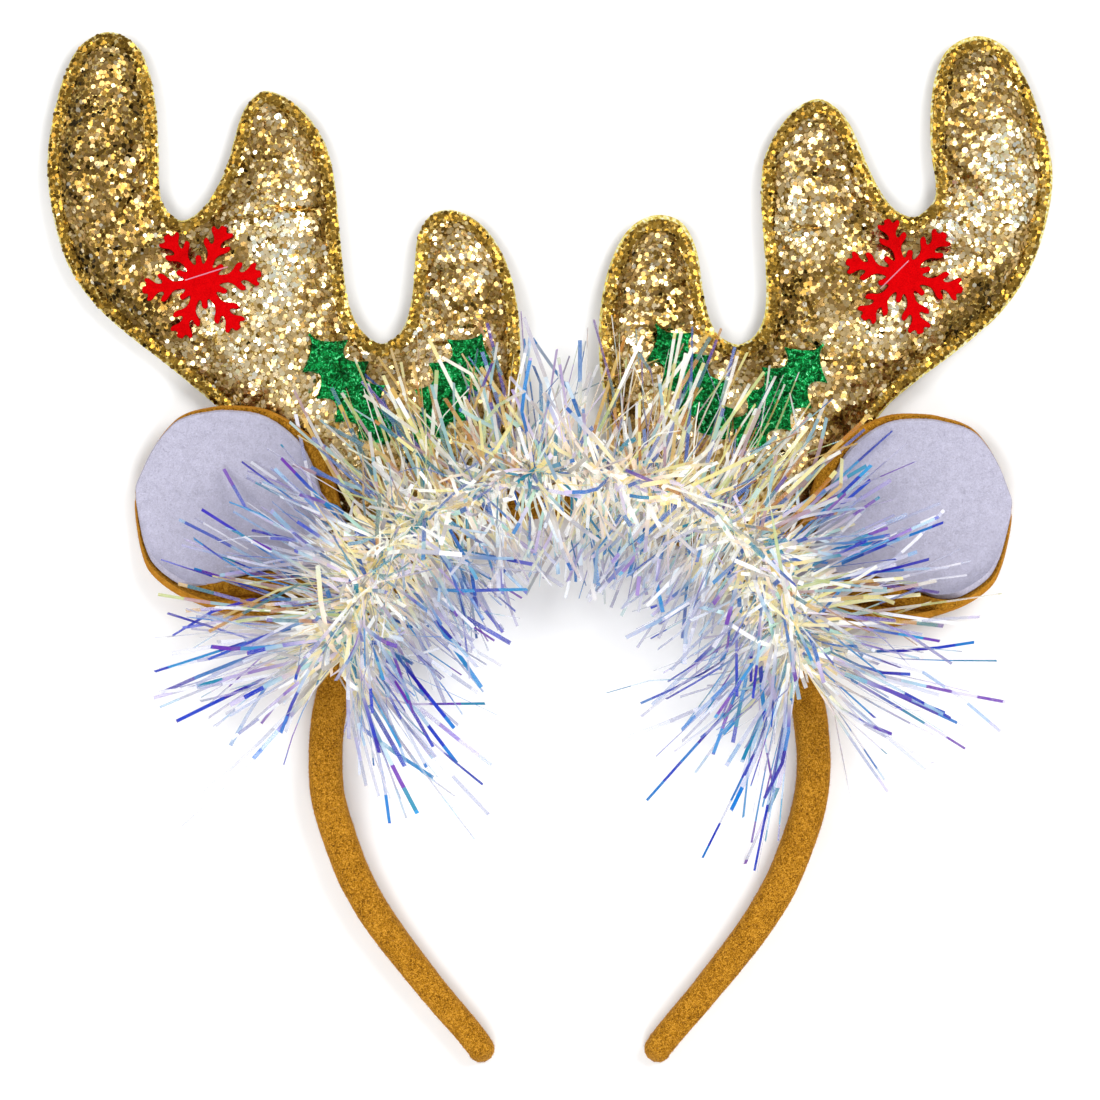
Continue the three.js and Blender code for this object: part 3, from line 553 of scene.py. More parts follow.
def glitter_cloth():
    """Gold-backed cloth under the flakes: fine glitter half a millimetre across."""
    stuff, tree = new_material("gold_glitter_cloth")
    where = add(tree, "TexCoord").outputs["Object"]
    grains = add(tree, "TexVoronoi", {"Vector": where, "Scale": 1 / (0.5 * MM)})
    shade = add(tree, "SeparateColor", {"Color": grains.outputs["Color"]})
    tone = add(tree, "ValToRGB", {"Fac": shade.outputs[0]},
               stops=[(0.0, "#6A5018"), (0.35, "#8C6C28"), (0.7, "#B08C40"),
                      (0.95, "#E8D080")])
    tilt = add(tree, "Bump", {"Strength": 0.6, "Distance": 0.3 * MM, "Height": shade.outputs[1]})
    skin = add(tree, "BsdfPrincipled", {
        "Base Color": tone.outputs[0], "Metallic": 0.8, "Roughness": 0.4,
        "Normal": tilt.outputs[0]})
    add(tree, "OutputMaterial", {"Surface": skin.outputs[0]})
    return stuff


def backing_edge():
    """The cut edge of the glitter cloth, where its pale yellow backing shows."""
    stuff, tree = new_material("pale_yellow_cloth_backing")
    where = add(tree, "TexCoord").outputs["Object"]
    threads = add(tree, "TexNoise", {"Vector": where, "Scale": 1 / (0.8 * MM), "Detail": 3.0})
    tone = add(tree, "ValToRGB", {"Fac": threads.outputs[0]},
               stops=[(0.35, "#A88420"), (0.5, "#D8C860"), (0.65, "#DCDCC0")])
    skin = add(tree, "BsdfPrincipled", {"Base Color": tone.outputs[0], "Roughness": 0.7})
    add(tree, "OutputMaterial", {"Surface": skin.outputs[0]})
    return stuff


def foil_flakes():
    """Cut metallised film: each flake has its own gold, champagne to nearly brown, with painted
    highlight and shade.
    """
    stuff, tree = new_material("gold_foil_flakes")
    tint = add(tree, "Attribute", attribute_name="tint")
    skin = add(tree, "BsdfPrincipled", {
        "Base Color": tint.outputs["Color"], "Metallic": 1.0, "Roughness": 0.27})
    add(tree, "OutputMaterial", {"Surface": skin.outputs[0]})
    return stuff


def mark_corners(made, name, values):
    """Stores four values at each corner of a piece, for its material to read."""
    marks = made.data.attributes.new(name, "FLOAT_COLOR", "POINT")
    marks.data.foreach_set("color", values.astype(np.float32).ravel())


def flake_mesh(name, centres, normals, radii, tints, seed):
    """Six-sided flakes glued on a cloth, each a thin closed form tilted its own way."""
    rng = np.random.default_rng(seed)
    count = len(centres)
    lean = rng.normal(0, math.tan(math.radians(FLAKE_TILT)), (count, 3))
    # One flake in twelve stands much further askew.
    lean[rng.random(count) < 0.08] *= 2.2
    up = unit(normals + lean)
    u = unit(np.cross(up, rng.normal(size=(count, 3))))
    v = np.cross(up, u)
    turns = np.arange(6) * math.pi / 3
    ring = (np.cos(turns)[None, :, None] * u[:, None] + np.sin(turns)[None, :, None] * v[:, None])
    ring = centres[:, None] + ring * radii[:, None, None]
    foot = centres - up * 0.3 * radii[:, None]
    corners = np.concatenate([ring, foot[:, None]], axis=1).reshape(-1, 3)
    corners[:, 2] = np.maximum(corners[:, 2], 0.01 * MM)
    faces = []
    for at in range(0, 7 * count, 7):
        faces.append(tuple(range(at, at + 6)))
        faces += [(at + (side + 1) % 6, at + side, at + 6) for side in range(6)]
    made = make_piece(name, corners, faces, FLAKES, crease=5)
    mark_corners(made, "tint", np.repeat(tints, 7, axis=0))


def tree_of(made):
    """A piece's surface, for finding what lies under a place."""
    mesh = made.data
    return BVHTree.FromPolygons([vert.co[:] for vert in mesh.vertices],
                                [face.vertices[:] for face in mesh.polygons])


def under(surface, x, y):
    """Where a surface is met straight below a place, or None."""
    return surface.ray_cast(Vector((x, y, 1)), DOWN)[0]


def drop_on(surface, points, from_above=True):
    """The places and normals where points meet a surface from the front or the back."""
    start, way = (1.0, DOWN) if from_above else (-1.0, -DOWN)
    found, facing = [], []
    for x, y in points:
        place, normal, _, _ = surface.ray_cast(Vector((x, y, start)), way)
        if place is not None:
            found.append(place[:])
            facing.append(normal[:])
    return np.array(found), np.array(facing)


def draw_tints(choices, places, painted_brightness, rng):
    """A tint for each flake; where the painted brightness is high, more of them are pale."""
    codes = np.array([linear(code) for code, _ in choices])
    ranks = np.cumsum([weight for _, weight in choices])
    # One flake in seven has any tint. The others have one near what the painted brightness gives.
    loose = rng.random(len(places)) < 0.14
    close = 0.43 - 0.38 * painted_brightness + rng.normal(0, 0.12, len(places))
    rank = np.where(loose, rng.random(len(places)), np.clip(close, 0, 0.999)) * ranks[-1]
    picked = codes[np.searchsorted(ranks, rank, side="right")]
    # Each flake's tone differs at random, and is lighter where the painted brightness is high and
    # darker where it is low.
    shade = rng.uniform(0.82, 1.12, (len(places), 1)) * (1 + 0.25 * painted_brightness[:, None])
    picked[:, :3] = np.clip(picked[:, :3] * shade, 0, 1)
    return picked


def painted_flake_shine(places, shine, seed):
    """Painted highlight and painted shade for the flakes' tints, in patches of 1 to 2 cm."""
    patch = np.array([rough((x, y, 0), 16 * MM, seed) + 0.7 * rough((x, y, 0), 6 * MM, seed)
                      for x, y, _ in places])
    for (x, y), reach, amount in shine:
        away = np.hypot(places[:, 0] - x, places[:, 1] - y) / reach
        patch = patch + amount * np.exp(-away ** 2)
    return np.clip(patch, -0.8, 1.0)


GLITTER = [glitter_cloth(), backing_edge()]
FLAKES = [foil_flakes()]
# bare: how far the backing's cut edge stands out. wrinkles: place, half length and depth of each
# crease. shine: place, reach and strength of each patch of painted highlight, or of painted shade
# where negative.
ANTLERS = {
    "left": {"node": "antler_left", "seed": 3.0, "bare": 0.0,
             "wrinkles": [((-76 * MM, 74.5 * MM), 15 * MM, 0.9 * MM)],
             "shine": [((-124 * MM, 95 * MM), 26 * MM, -0.7), ((-122 * MM, 60 * MM), 18 * MM, -0.7),
                      ((-66 * MM, 85 * MM), 9 * MM, -0.4), ((-88 * MM, 42 * MM), 18 * MM, 0.5),
                      ((-80 * MM, 76 * MM), 9 * MM, 0.4), ((-42 * MM, 62 * MM), 14 * MM, 0.5),
                      ((-116 * MM, 42 * MM), 11 * MM, -1.0), ((-100 * MM, 24 * MM), 9 * MM, -1.0)]},
    "right": {"node": "antler_right", "seed": 8.0, "bare": 0.9 * MM,
              "wrinkles": [((58 * MM, 70 * MM), 9 * MM, 0.4 * MM)],
              "shine": [((112 * MM, 80 * MM), 24 * MM, 0.35), ((54 * MM, 50 * MM), 12 * MM, -0.6),
                       ((112 * MM, 45 * MM), 12 * MM, -0.5)]},
}
antler_surface = {}
for side, kit in ANTLERS.items():
    outline = spline(front_outline(kit["node"]), 8, closed=True)
    outline = even(outline, ANTLER_EDGE_STEP, closed=True)
    seed = kit["seed"]
    inner, front, back = antler_skin(outline, seed, kit["wrinkles"])
    edges_bare = np.array([0.35 * MM + kit["bare"] * max(0, rough((x, y, 0), 30 * MM, seed) + 0.25)
                           for x, y in outline])
    corners, faces, kinds = two_skins(outline, inner, front, back, edges_bare)
    pad = make_piece(side + "_antler_padding", corners, faces, GLITTER,
                     [kit["node"]], kinds)
    stuff(pad, outline)
    antler_surface[side] = tree_of(pad)
    rng = np.random.default_rng(int(seed))
    for face, spacing, above in (("front", FLAKE_SPACING, True),
                                 ("back", FLAKE_BACK_SPACING, False)):
        spots = hex_grid(outline, spacing, rng, 0.32)
        rim = depth_inside(outline, spots) < ANTLER_RIM
        extra = hex_grid(outline, 0.8 * spacing, rng, 0.42)
        extra = extra[depth_inside(outline, extra) < ANTLER_RIM]
        spots = np.vstack([spots[~rim], extra])
        on_rim = np.arange(len(spots)) >= (~rim).sum()
        centres, normals = drop_on(antler_surface[side], spots, above)
        count = len(centres)
        radii = np.where(on_rim, FLAKE_RIM_RADIUS, FLAKE_RADIUS) * rng.uniform(0.75, 1.12, count)
        radii = np.where(rng.random(count) < 0.2, radii * 0.6, radii)
        steep = 1 - np.abs(normals[:, 2])
        # Painted shade on the steep sides and painted highlight and shade in patches set how pale
        # each flake's tint is.
        painted_brightness = painted_flake_shine(centres, kit["shine"], seed) - FLAKE_STEEP_PAINTED_SHADE * steep
        tints = np.where(on_rim[:, None], draw_tints(FLAKE_RIM_TINTS, centres, 0.5 * painted_brightness, rng),
                         draw_tints(FLAKE_TINTS, centres, painted_brightness, rng))
        centres = centres + normals * rng.uniform(0.04, 0.2, (count, 1)) * MM
        flake_mesh(f"{side}_antler_{face}_flakes", centres, normals, radii, tints,
                   int(seed) + above)

# ---- Snowflakes ----------------------------------------------------------------------------
# Red snowflakes die-cut from felt a millimetre thick. Each lies on the padding, held by one
# stitch of clear nylon through its hub.

SNOWFLAKE_THICK = 1.15 * MM
SNOWFLAKE_GRID = 0.9 * MM
SNOWFLAKE_TRIM = 0.22 * MM
FLAKE_CLEAR = 0.35 * MM
LAID_AROUND = [(0, 0), (1.5, 0), (-1.5, 0), (0, 1.5), (0, -1.5)]
STITCH_RADIUS = 0.16 * MM


def cut_corners(outline, rounds):
    """The outline with its corners cut back, as a die with rounded corners leaves them."""
    for _ in range(rounds):
        following = np.roll(outline, -1, 0)
        outline = np.stack([0.75 * outline + 0.25 * following,
                            0.25 * outline + 0.75 * following], axis=1).reshape(-1, 2)
    return outline


def laid_form(outline, padding, thick, spacing, clear, bulge, lift):
    """A thin form that lies on the padding and bridges its lumps and flakes.

    Its corners are spacing apart, and no nearer than clear to the outline. lift(x, y) is its own
    unevenness.
    """
    inner = hex_grid(outline, spacing)
    inner = inner[depth_inside(outline, inner) > clear]

    def front(points):
        found = []
        for x, y in points:
            hits = [under(padding, x + across * MM, y + up * MM) for across, up in LAID_AROUND]
            found.append(max(hit.z for hit in hits if hit) + FLAKE_CLEAR + thick + lift(x, y))
        return np.array(found)

    return two_skins(outline, inner, front, lambda points: front(points) - thick,
                     np.full(len(outline), bulge))


def tube(path, radius, sides=6):
    """Corners and faces of a round thread along a path."""
    path = np.asarray(path, float)
    along = unit(np.gradient(path, axis=0))
    level = unit(np.cross(along, (0.1, 0.2, 1.0)))
    upright = np.cross(along, level)
    turns = np.arange(sides) * 2 * math.pi / sides
    rings = [[point + radius * (math.cos(turn) * a + math.sin(turn) * b) for turn in turns]
             for point, a, b in zip(path, level, upright)]
    return skin_of_rings(rings)


def nylon():
    """Monofilament: clear and smooth. Its pale pink colour is a painted highlight, tinted by the
    red felt.
    """
    stuff, tree = new_material("clear_nylon_thread")
    skin = add(tree, "BsdfPrincipled", {
        "Base Color": linear("#F0A8C0"), "Roughness": 0.15, "IOR": 1.53, "Alpha": 0.55})
    add(tree, "OutputMaterial", {"Surface": skin.outputs[0]})
    return stuff


RED_FELT = felt("red_die_cut_felt", "#A40003", "#C40004", "#D40408", 0.0, 0.3 * MM, shine=0.03)
# The cut sides get a darker copy of the red felt, as painted shade.
RED_EDGE = felt("red_felt_cut_edge", "#7C0003", "#A00005", "#B80408", 0.0, 0.3 * MM, shine=0.03)
NYLON = nylon()
# The ends of each stitch, in mm.
STITCHES = {"left": ((-100.8, 56.3), (-88.6, 60.2)), "right": ((80.5, 54.6), (88.6, 62.6))}
for side, ends in STITCHES.items():
    node = "snowflake_" + side
    outline = cut_corners(front_outline(node), 2)
    outline = outline - outward(outline) * SNOWFLAKE_TRIM
    form = laid_form(outline, antler_surface[side], SNOWFLAKE_THICK, SNOWFLAKE_GRID,
                     0.35 * SNOWFLAKE_GRID, 0.12 * MM,
                     lambda x, y: 0.1 * MM * rough((x, y, 0), 2.5 * MM))
    corners, faces, kinds = with_fibres(*form, 0, count=1500, length=0.28 * MM,
                                        width=0.05 * MM, seed=21)
    surface = tree_of(make_piece(side + "_snowflake_felt", corners, faces, [RED_FELT, RED_EDGE],
                                 [node], kinds))
    share = np.linspace(0, 1, 15)[:, None]
    run = np.array(ends[0]) * MM * (1 - share) + np.array(ends[1]) * MM * share
    heights = [under(surface, x, y) for x, y in run]
    heights = np.array([spot.z if spot else 0.0 for spot in heights])
    heights = np.where(heights > 0, heights, heights.max()) + 0.12 * MM
    path = np.column_stack([run, heights - 1.2 * MM * (2 * np.abs(share[:, 0] - 0.5)) ** 8])
    corners, faces = tube(path, STITCH_RADIUS)
    make_piece(side + "_snowflake_stitch", corners, faces, [NYLON])

# ---- Holly leaves --------------------------------------------------------------------------
# Holly leaves cut from green metallic lame, a woven foil cloth that creases sharply. Each is
# stitched to the padding at its foot, under the tinsel, and a pressed rib runs down its middle.

LEAF_THICK = 0.8 * MM
LEAF_GRID = 0.75 * MM
RIB_HIGH, RIB_HALF = 0.5 * MM, 0.7 * MM
LEAVES = ("left_outer", "left_inner", "right_inner", "right_outer")


def holly_outline(line, steps=6):
    """Sharp lobes joined by hollow arcs, from an outline of tips and hollows."""
    hollow = turning(line) < 0
    rounded = []
    count = len(line)
    for at in range(count):
        if not hollow[at]:
            rounded.append(line[at])
            continue
        start, end = line[at - 1], line[(at + 1) % count]
        pull = 2 * line[at] - (start + end) / 2
        for share in np.arange(1, steps) / steps:
            rounded.append((1 - share) ** 2 * start + 2 * share * (1 - share) * pull
                           + share ** 2 * end)
    return even(np.array(rounded), 0.7 * MM, closed=True)


def green_foil():
    """Crinkled lame: bright green metal with creases about a millimetre apart."""
    stuff, tree = new_material("green_foil_lame")
    where = add(tree, "TexCoord").outputs["Object"]
    creases = add(tree, "TexVoronoi", {"Vector": where, "Scale": 1 / (1.5 * MM), "Randomness": 1.0},
                  feature="DISTANCE_TO_EDGE")
    fine = add(tree, "TexNoise", {"Vector": where, "Scale": 1 / (1.0 * MM), "Detail": 5.0,
                                  "Roughness": 0.75, "Distortion": 1.0})
    # The greens are the lame's threads; its palest mint stop is a painted sparkle.
    threads = add(tree, "ValToRGB", {"Fac": fine.outputs[0]},
                  stops=[(0.38, "#001C06"), (0.47, "#003E14"), (0.53, "#027230"), (0.60, "#14B45C"),
                         (0.68, "#A8FFD0")])
    crush = add(tree, "Math", {0: creases.outputs["Distance"], 1: fine.outputs[0]}, operation="ADD")
    bump = add(tree, "Bump", {"Strength": 0.6, "Distance": 0.4 * MM, "Height": crush.outputs[0]})
    skin = add(tree, "BsdfPrincipled", {
        "Base Color": threads.outputs[0], "Metallic": 0.9, "Roughness": 0.28,
        "Normal": bump.outputs[0]})
    add(tree, "OutputMaterial", {"Surface": skin.outputs[0]})
    return stuff


LAME = green_foil()
for number, name in enumerate(LEAVES):
    node, seed = "holly_leaf_" + name, number + 1.0
    outline = holly_outline(front_outline(node))
    centre = outline.mean(0)
    rib = np.linalg.svd(outline - centre, full_matrices=False)[2][0]

    def crinkle(x, y):
        across = abs((x - centre[0]) * -rib[1] + (y - centre[1]) * rib[0])
        press = RIB_HIGH * math.exp(-(across / RIB_HALF) ** 2)
        return (press + 0.42 * MM * rough((x, y, seed), 1.7 * MM)
                + 0.55 * MM * rough((x, y, seed), 4.5 * MM))

    corners, faces, _ = laid_form(outline, antler_surface[name.split("_")[0]], LEAF_THICK,
                                  LEAF_GRID, 0.4 * LEAF_GRID, 0.05 * MM, crinkle)
    make_piece(name + "_holly_lame", corners, faces, [LAME], [node], crease=14)

# ---- Ears ----------------------------------------------------------------------------------
# Each ear is a pale felt lining glued on a larger brown felt. The pair is pinched at its root,
# where it is stitched to the band, so that it cups and its lower edge rolls over to the front.

EAR_LENGTH = 63.3 * MM
EAR_UPPER = 35 * MM
EAR_LOWER = 22.5 * MM
EAR_SKIRT = 7 * MM
EAR_FELT = 1.5 * MM
EAR_SEAM = 0.65 * MM
EAR_LIFT = 5.2 * MM
EAR_ROLL = 10  # degrees
# How far along the band its root is, and the share of its half width that doesn't curl.
EAR_BASE_AT = 62 * MM
EAR_FLAT_SHARE = 0.35
EAR_ROWS = np.array([
    # The ear's sections from root to tip: where along its length, its reach above and below its
    # middle, how far each edge curls in degrees, and the reach of the brown felt past the lining.
    (0.00, 0.15, 0.20, 30, 70, 0.10),
    (0.10, 0.24, 0.44, 34, 108, 0.70),
    (0.20, 0.40, 0.74, 34, 128, 1.00),
    (0.33, 0.72, 0.95, 32, 130, 0.85),
    (0.48, 0.95, 1.00, 28, 115, 0.30),
    (0.64, 1.00, 0.91, 24, 90, 0.15),
    (0.79, 0.91, 0.72, 20, 65, 0.10),
    (0.86, 0.83, 0.53, 17, 48, 0.10),
    (0.925, 0.735, 0.27, 14, 34, 0.10),
    (0.96, 0.65, 0.11, 12, 26, 0.10),
    (0.983, 0.53, -0.02, 11, 22, 0.10),
    (0.995, 0.42, -0.09, 11, 20, 0.10),
    (1.00, 0.31, -0.15, 10, 18, 0.10)])
EAR_COLUMNS = 46
LINING_MARGIN = 0.85 * MM
# The way each ear points, and how far it tilts up in degrees.
EARS = {"left": (-1, 25), "right": (1, 21)}
# How far below the ear's middle the lining is cut, in mm, so that it stays clear of the pleats.
LINING_LOW = ((0.00, 0.10, 0.20, 0.33, 0.48, 0.57, 0.66, 1.00),
              (-3.0, -3.5, -3.0, 0.0, 7.5, 14.5, 18.5, 18.5))
EAR_PLEATS = {
    # x, y, half width and height of each fold of the felt below the lining, all in mm
    "left": [[(-101.0, -21.9, 0.3, 0.3), (-97.0, -22.8, 1.2, 0.9), (-91.0, -23.2, 1.9, 1.5),
              (-83.1, -22.4, 2.9, 2.1), (-74.0, -21.6, 3.4, 2.5), (-62.3, -22.2, 2.6, 2.4)],
             [(-92.0, -26.6, 0.3, 0.3), (-87.3, -27.5, 1.3, 1.3), (-80.0, -28.3, 2.1, 2.0),
              (-71.4, -28.2, 2.2, 2.0), (-63.6, -27.9, 1.6, 1.8)]],
    "right": [[(102.0, -26.6, 0.3, 0.3), (98.5, -27.2, 1.1, 0.9), (94.0, -27.3, 1.7, 1.4),
               (88.5, -26.4, 2.3, 1.9), (80.7, -24.6, 2.9, 2.3), (72.9, -23.3, 3.0, 2.4),
               (66.4, -22.8, 2.3, 2.2)],
              [(90.0, -30.6, 0.3, 0.3), (85.5, -30.9, 1.3, 1.3), (79.5, -30.6, 2.0, 1.9),
               (72.0, -29.8, 2.0, 1.9), (65.0, -29.0, 1.6, 1.7)]],
}


def ear_rows():
    """The ear's sections, closer together, with rounder ends than the rows alone give."""
    line = spline(EAR_ROWS * (1, 1, 1, 0.01, 0.01, 1), 7)
    line[:, 3:5] *= 100
    return line


def ear_edges(row, lining):
    """The felt's whole reach above and below the ear's middle at a row, and where it is cut."""
    at, up, down, _, _, skirt = row
    up, down = up * EAR_UPPER + skirt * EAR_SKIRT, down * EAR_LOWER
    if not lining:
        return up, down, up, down
    low = np.interp(at, *LINING_LOW) * MM
    if at > 0.3:
        edge, soft = down - LINING_MARGIN, 1.2 * MM
        low = -soft * math.log(math.exp(-low / soft) + math.exp(-edge / soft))
    return up, down, up - skirt * EAR_SKIRT, low


def ear_surface(side, tilt, offset, lining, seed):
    """A grid of points over one face of a felt, offset from where the two felts meet."""
    point, _, away = band_place(side * EAR_BASE_AT)
    base = point + away * (BAND_WIDTH / 2 + 0.3 * MM)
    along = np.array([side * math.cos(math.radians(tilt)), math.sin(math.radians(tilt))])
    upward = np.array([-side * along[1], side * along[0]])
    clear = abs(away @ upward) * max(EAR_ROWS[0][1] * EAR_UPPER, EAR_ROWS[0][2] * EAR_LOWER)
    grid = []
    for row in ear_rows():
        at, _, _, curl_up, curl_down, _ = row
        up, down, edge_up, edge_down = ear_edges(row, lining)
        origin = base + along * (clear + at * EAR_LENGTH)
        targets = np.linspace(-edge_down, edge_up, EAR_COLUMNS + 1)
        line = []
        for target in targets:
            parts = (np.arange(24) + 0.5) / 24 * target
            width = up if target > 0 else down
            bend = np.clip((np.abs(np.append(parts, target)) / width - EAR_FLAT_SHARE)
                           / (1 - EAR_FLAT_SHARE), 0, 1)
            end = curl_up if target > 0 else -curl_down
            slope = np.radians(EAR_ROLL + (end - EAR_ROLL) * bend)
            sideways = (target / 24) * np.cos(slope[:-1]).sum() - offset * math.sin(slope[-1])
            height = (target / 24) * np.sin(slope[:-1]).sum() + offset * math.cos(slope[-1])
            place = origin + upward * sideways
            wave = 0.45 * MM * rough((place[0], place[1], seed), 14 * MM)
            line.append((place[0], place[1], max(0.2 * MM, EAR_LIFT + height + wave * at)))
        grid.append(line)
    return np.array(grid)


def walled_sheet(front, back, bulge):
    """Corners, faces and materials of a sheet between two grids, with a rounded edge."""
    rows, columns = front.shape[:2]
    total = rows * columns
    corners = np.vstack([front.reshape(-1, 3), back.reshape(-1, 3)])
    index = np.arange(total).reshape(rows, columns)
    faces, kinds = [], []
    for row in range(rows - 1):
        for column in range(columns - 1):
            a, b = index[row, column], index[row + 1, column]
            c, d = index[row + 1, column + 1], index[row, column + 1]
            faces += [(a, b, c, d), (total + a, total + d, total + c, total + b)]
            kinds += [0, 0]
    edge = [*index[:-1, 0], *index[-1, :-1], *index[:0:-1, -1], *index[0, :0:-1]]
    outer = (corners[edge] + corners[[total + at for at in edge]]) / 2
    middle = front.reshape(-1, 3)[edge].mean(0)
    push = unit(outer - middle)
    corners = np.vstack([corners, outer + push * bulge])
    for at, here in enumerate(edge):
        there = edge[(at + 1) % len(edge)]
        mid, beside = 2 * total + at, 2 * total + (at + 1) % len(edge)
        faces += [(there, here, mid, beside), (beside, mid, total + here, total + there)]
        kinds += [1, 1]
    volume = sum(np.dot(corners[face[0]], np.cross(corners[face[1]], corners[face[2]]))
                 for face in faces[:-len(edge)])
    if volume < 0:
        faces = [face[::-1] for face in faces]
    return corners, faces, kinds


def pleat(path, ear):
    """Corners and faces of one plump fold of felt that lies on the ear along a path."""
    line = spline(path, 7)
    along = unit(np.gradient(line[:, :2], axis=0))
    aside = np.stack([-along[:, 1], along[:, 0]], axis=1)
    levels = []
    for (x, y, half, _), (across, up) in zip(line, aside):
        hits = [under(ear, x + way * half * across, y + way * half * up)
                for way in (-0.8, 0, 0.8)]
        levels.append(max([hit.z for hit in hits if hit], default=np.nan))
    levels = np.array(levels)
    known = ~np.isnan(levels)
    places = np.arange(len(levels))
    levels = np.interp(places, places[known], levels[known])
    levels = np.convolve(np.pad(levels, 3, "edge"), np.full(7, 1 / 7), "valid")
    rings = []
    for (x, y, half, high), (across, up), level in zip(line, aside, levels):
        ring = []
        for turn in np.arange(16) * math.pi / 8:
            out = half * math.copysign(abs(math.cos(turn)) ** 0.8, math.cos(turn))
            top = high * math.sin(turn) if turn < math.pi else 0.5 * high * math.sin(turn)
            top += 0.12 * high * rough((x + out, y, top), 3 * MM, 2.0)
            ring.append((x + across * out, y + up * out, level + top))
        rings.append(ring)
    return skin_of_rings(rings)


PALE_FELT = felt("pale_lavender_felt", "#9F9CAD", "#B0AEC0", "#BFBDD0", 0.15)
PALE_EDGE = felt("pale_felt_cut_edge", "#9D99AA", "#B0ADBE", "#C4C1D2", 0.15)
BROWN_EDGE = felt("brown_felt_cut_edge", "#8C5A0C", "#AE7418", "#C88C34", 0.3)
ear_surfaces = []
for side, (way, tilt) in EARS.items():
    seam = EAR_SEAM / 2
    layers = {"brown": (-seam - EAR_FELT, -seam, False, [BROWN_FELT, BROWN_EDGE], "outer_felt"),
              "pale": (seam, seam + EAR_FELT, True, [PALE_FELT, PALE_EDGE], "lining_felt")}
    for colour, (low, high, lining, felts, node) in layers.items():
        back = ear_surface(way, tilt, low, lining, 4.0 + way)
        front = ear_surface(way, tilt, high, lining, 4.0 + way)
        corners, faces, kinds = walled_sheet(front, back, 0.3 * MM)
        rows = ear_rows()
        widths = np.array([sum(ear_edges(row, lining)[2:]) for row in rows])
        area = float(np.sum((widths[1:] + widths[:-1]) / 2 * np.diff(rows[:, 0])) * EAR_LENGTH)
        if not lining:
            flat = BVHTree.FromPolygons([tuple(corner) for corner in corners], faces)
            for points in EAR_PLEATS[side]:
                path = np.array(points) * MM
                more, folds = pleat(path, flat)
                faces = faces + [tuple(len(corners) + corner for corner in face) for face in folds]
                corners = np.vstack([corners, more])
                kinds = kinds + [0] * len(folds)
                steps = np.linalg.norm(np.diff(path[:, :2], axis=0), axis=1)
                area += float(np.sum(steps * (path[1:, 3] + path[:-1, 3])))
        corners, faces, kinds = with_fibres(corners, faces, kinds, 1, count=9000,
                                            length=0.6 * MM, width=0.06 * MM, seed=31)
        ear = make_piece(f"{side}_ear_{colour}_felt", corners, faces, felts,
                         [f"ear_{side}_{node}"], kinds, crease=60)
        ear_surfaces.append(tree_of(ear))

# ---- Tinsel garland ------------------------------------------------------------------------
# A tinsel garland: two wires twisted round cut strips of clear iridescent film, so the strips
# burst out all round. Its back is glued to the front of the band, over the antlers' roots.

TINSEL_HALF = 76 * MM
TINSEL_RADIUS = 6.2 * MM
TINSEL_SHIFT = 7.5 * MM
# Along half the garland: how much of that shift it has.
TINSEL_SHIFTS = ((0.00, 0.30, 0.60, 0.84, 1.00), (1.00, 1.08, 0.95, 0.52, 0.12))
TINSEL_SINK = 2.2 * MM
FILM_THICK = 0.09 * MM
STRANDS = {
    # kind: count, width, shortest, longest, curl, share that is kinked
    "wide": (950, 0.98 * MM, 27 * MM, 45 * MM, 0.16, 0.20),
    "hair": (160, 0.35 * MM, 26 * MM, 38 * MM, 0.60, 0.30),
    "core": (1100, 1.1 * MM, 8 * MM, 20 * MM, 0.80, 0.80),
    "laid": (10, 1.1 * MM, 32 * MM, 50 * MM, 0.10, 0.10),
}
LAID_RISE = 13 * MM
STRAND_STEPS = 6
# From how far past the garland's end the band is bare, and the share of strips that cross it.
BARE_MARGIN = 9 * MM
STRAY_SHARE = 0.05


def garland_place(distance):
    """The middle of the garland's wires, in front of the band's edge."""
    point, along, away = band_place(distance)
    share = np.abs(distance) / TINSEL_HALF
    shift = TINSEL_SHIFT * np.interp(share, *TINSEL_SHIFTS)
    # The garland thins out towards its ends, and rests on the band's front or front corner.
    seat = TINSEL_RADIUS * np.sqrt(1 - 0.8 * share ** 8) + 0.3 * MM + TINSEL_SINK
    past = np.maximum(0, shift - BAND_WIDTH / 2 + TINSEL_SINK)
    height = BAND_DEPTH - TINSEL_SINK + np.sqrt(np.maximum(0, seat ** 2 - past ** 2))
    place = np.column_stack([point + away * shift[:, None], height])
    level = np.zeros(len(place))
    return place, np.column_stack([along, level]), np.column_stack([away, level])


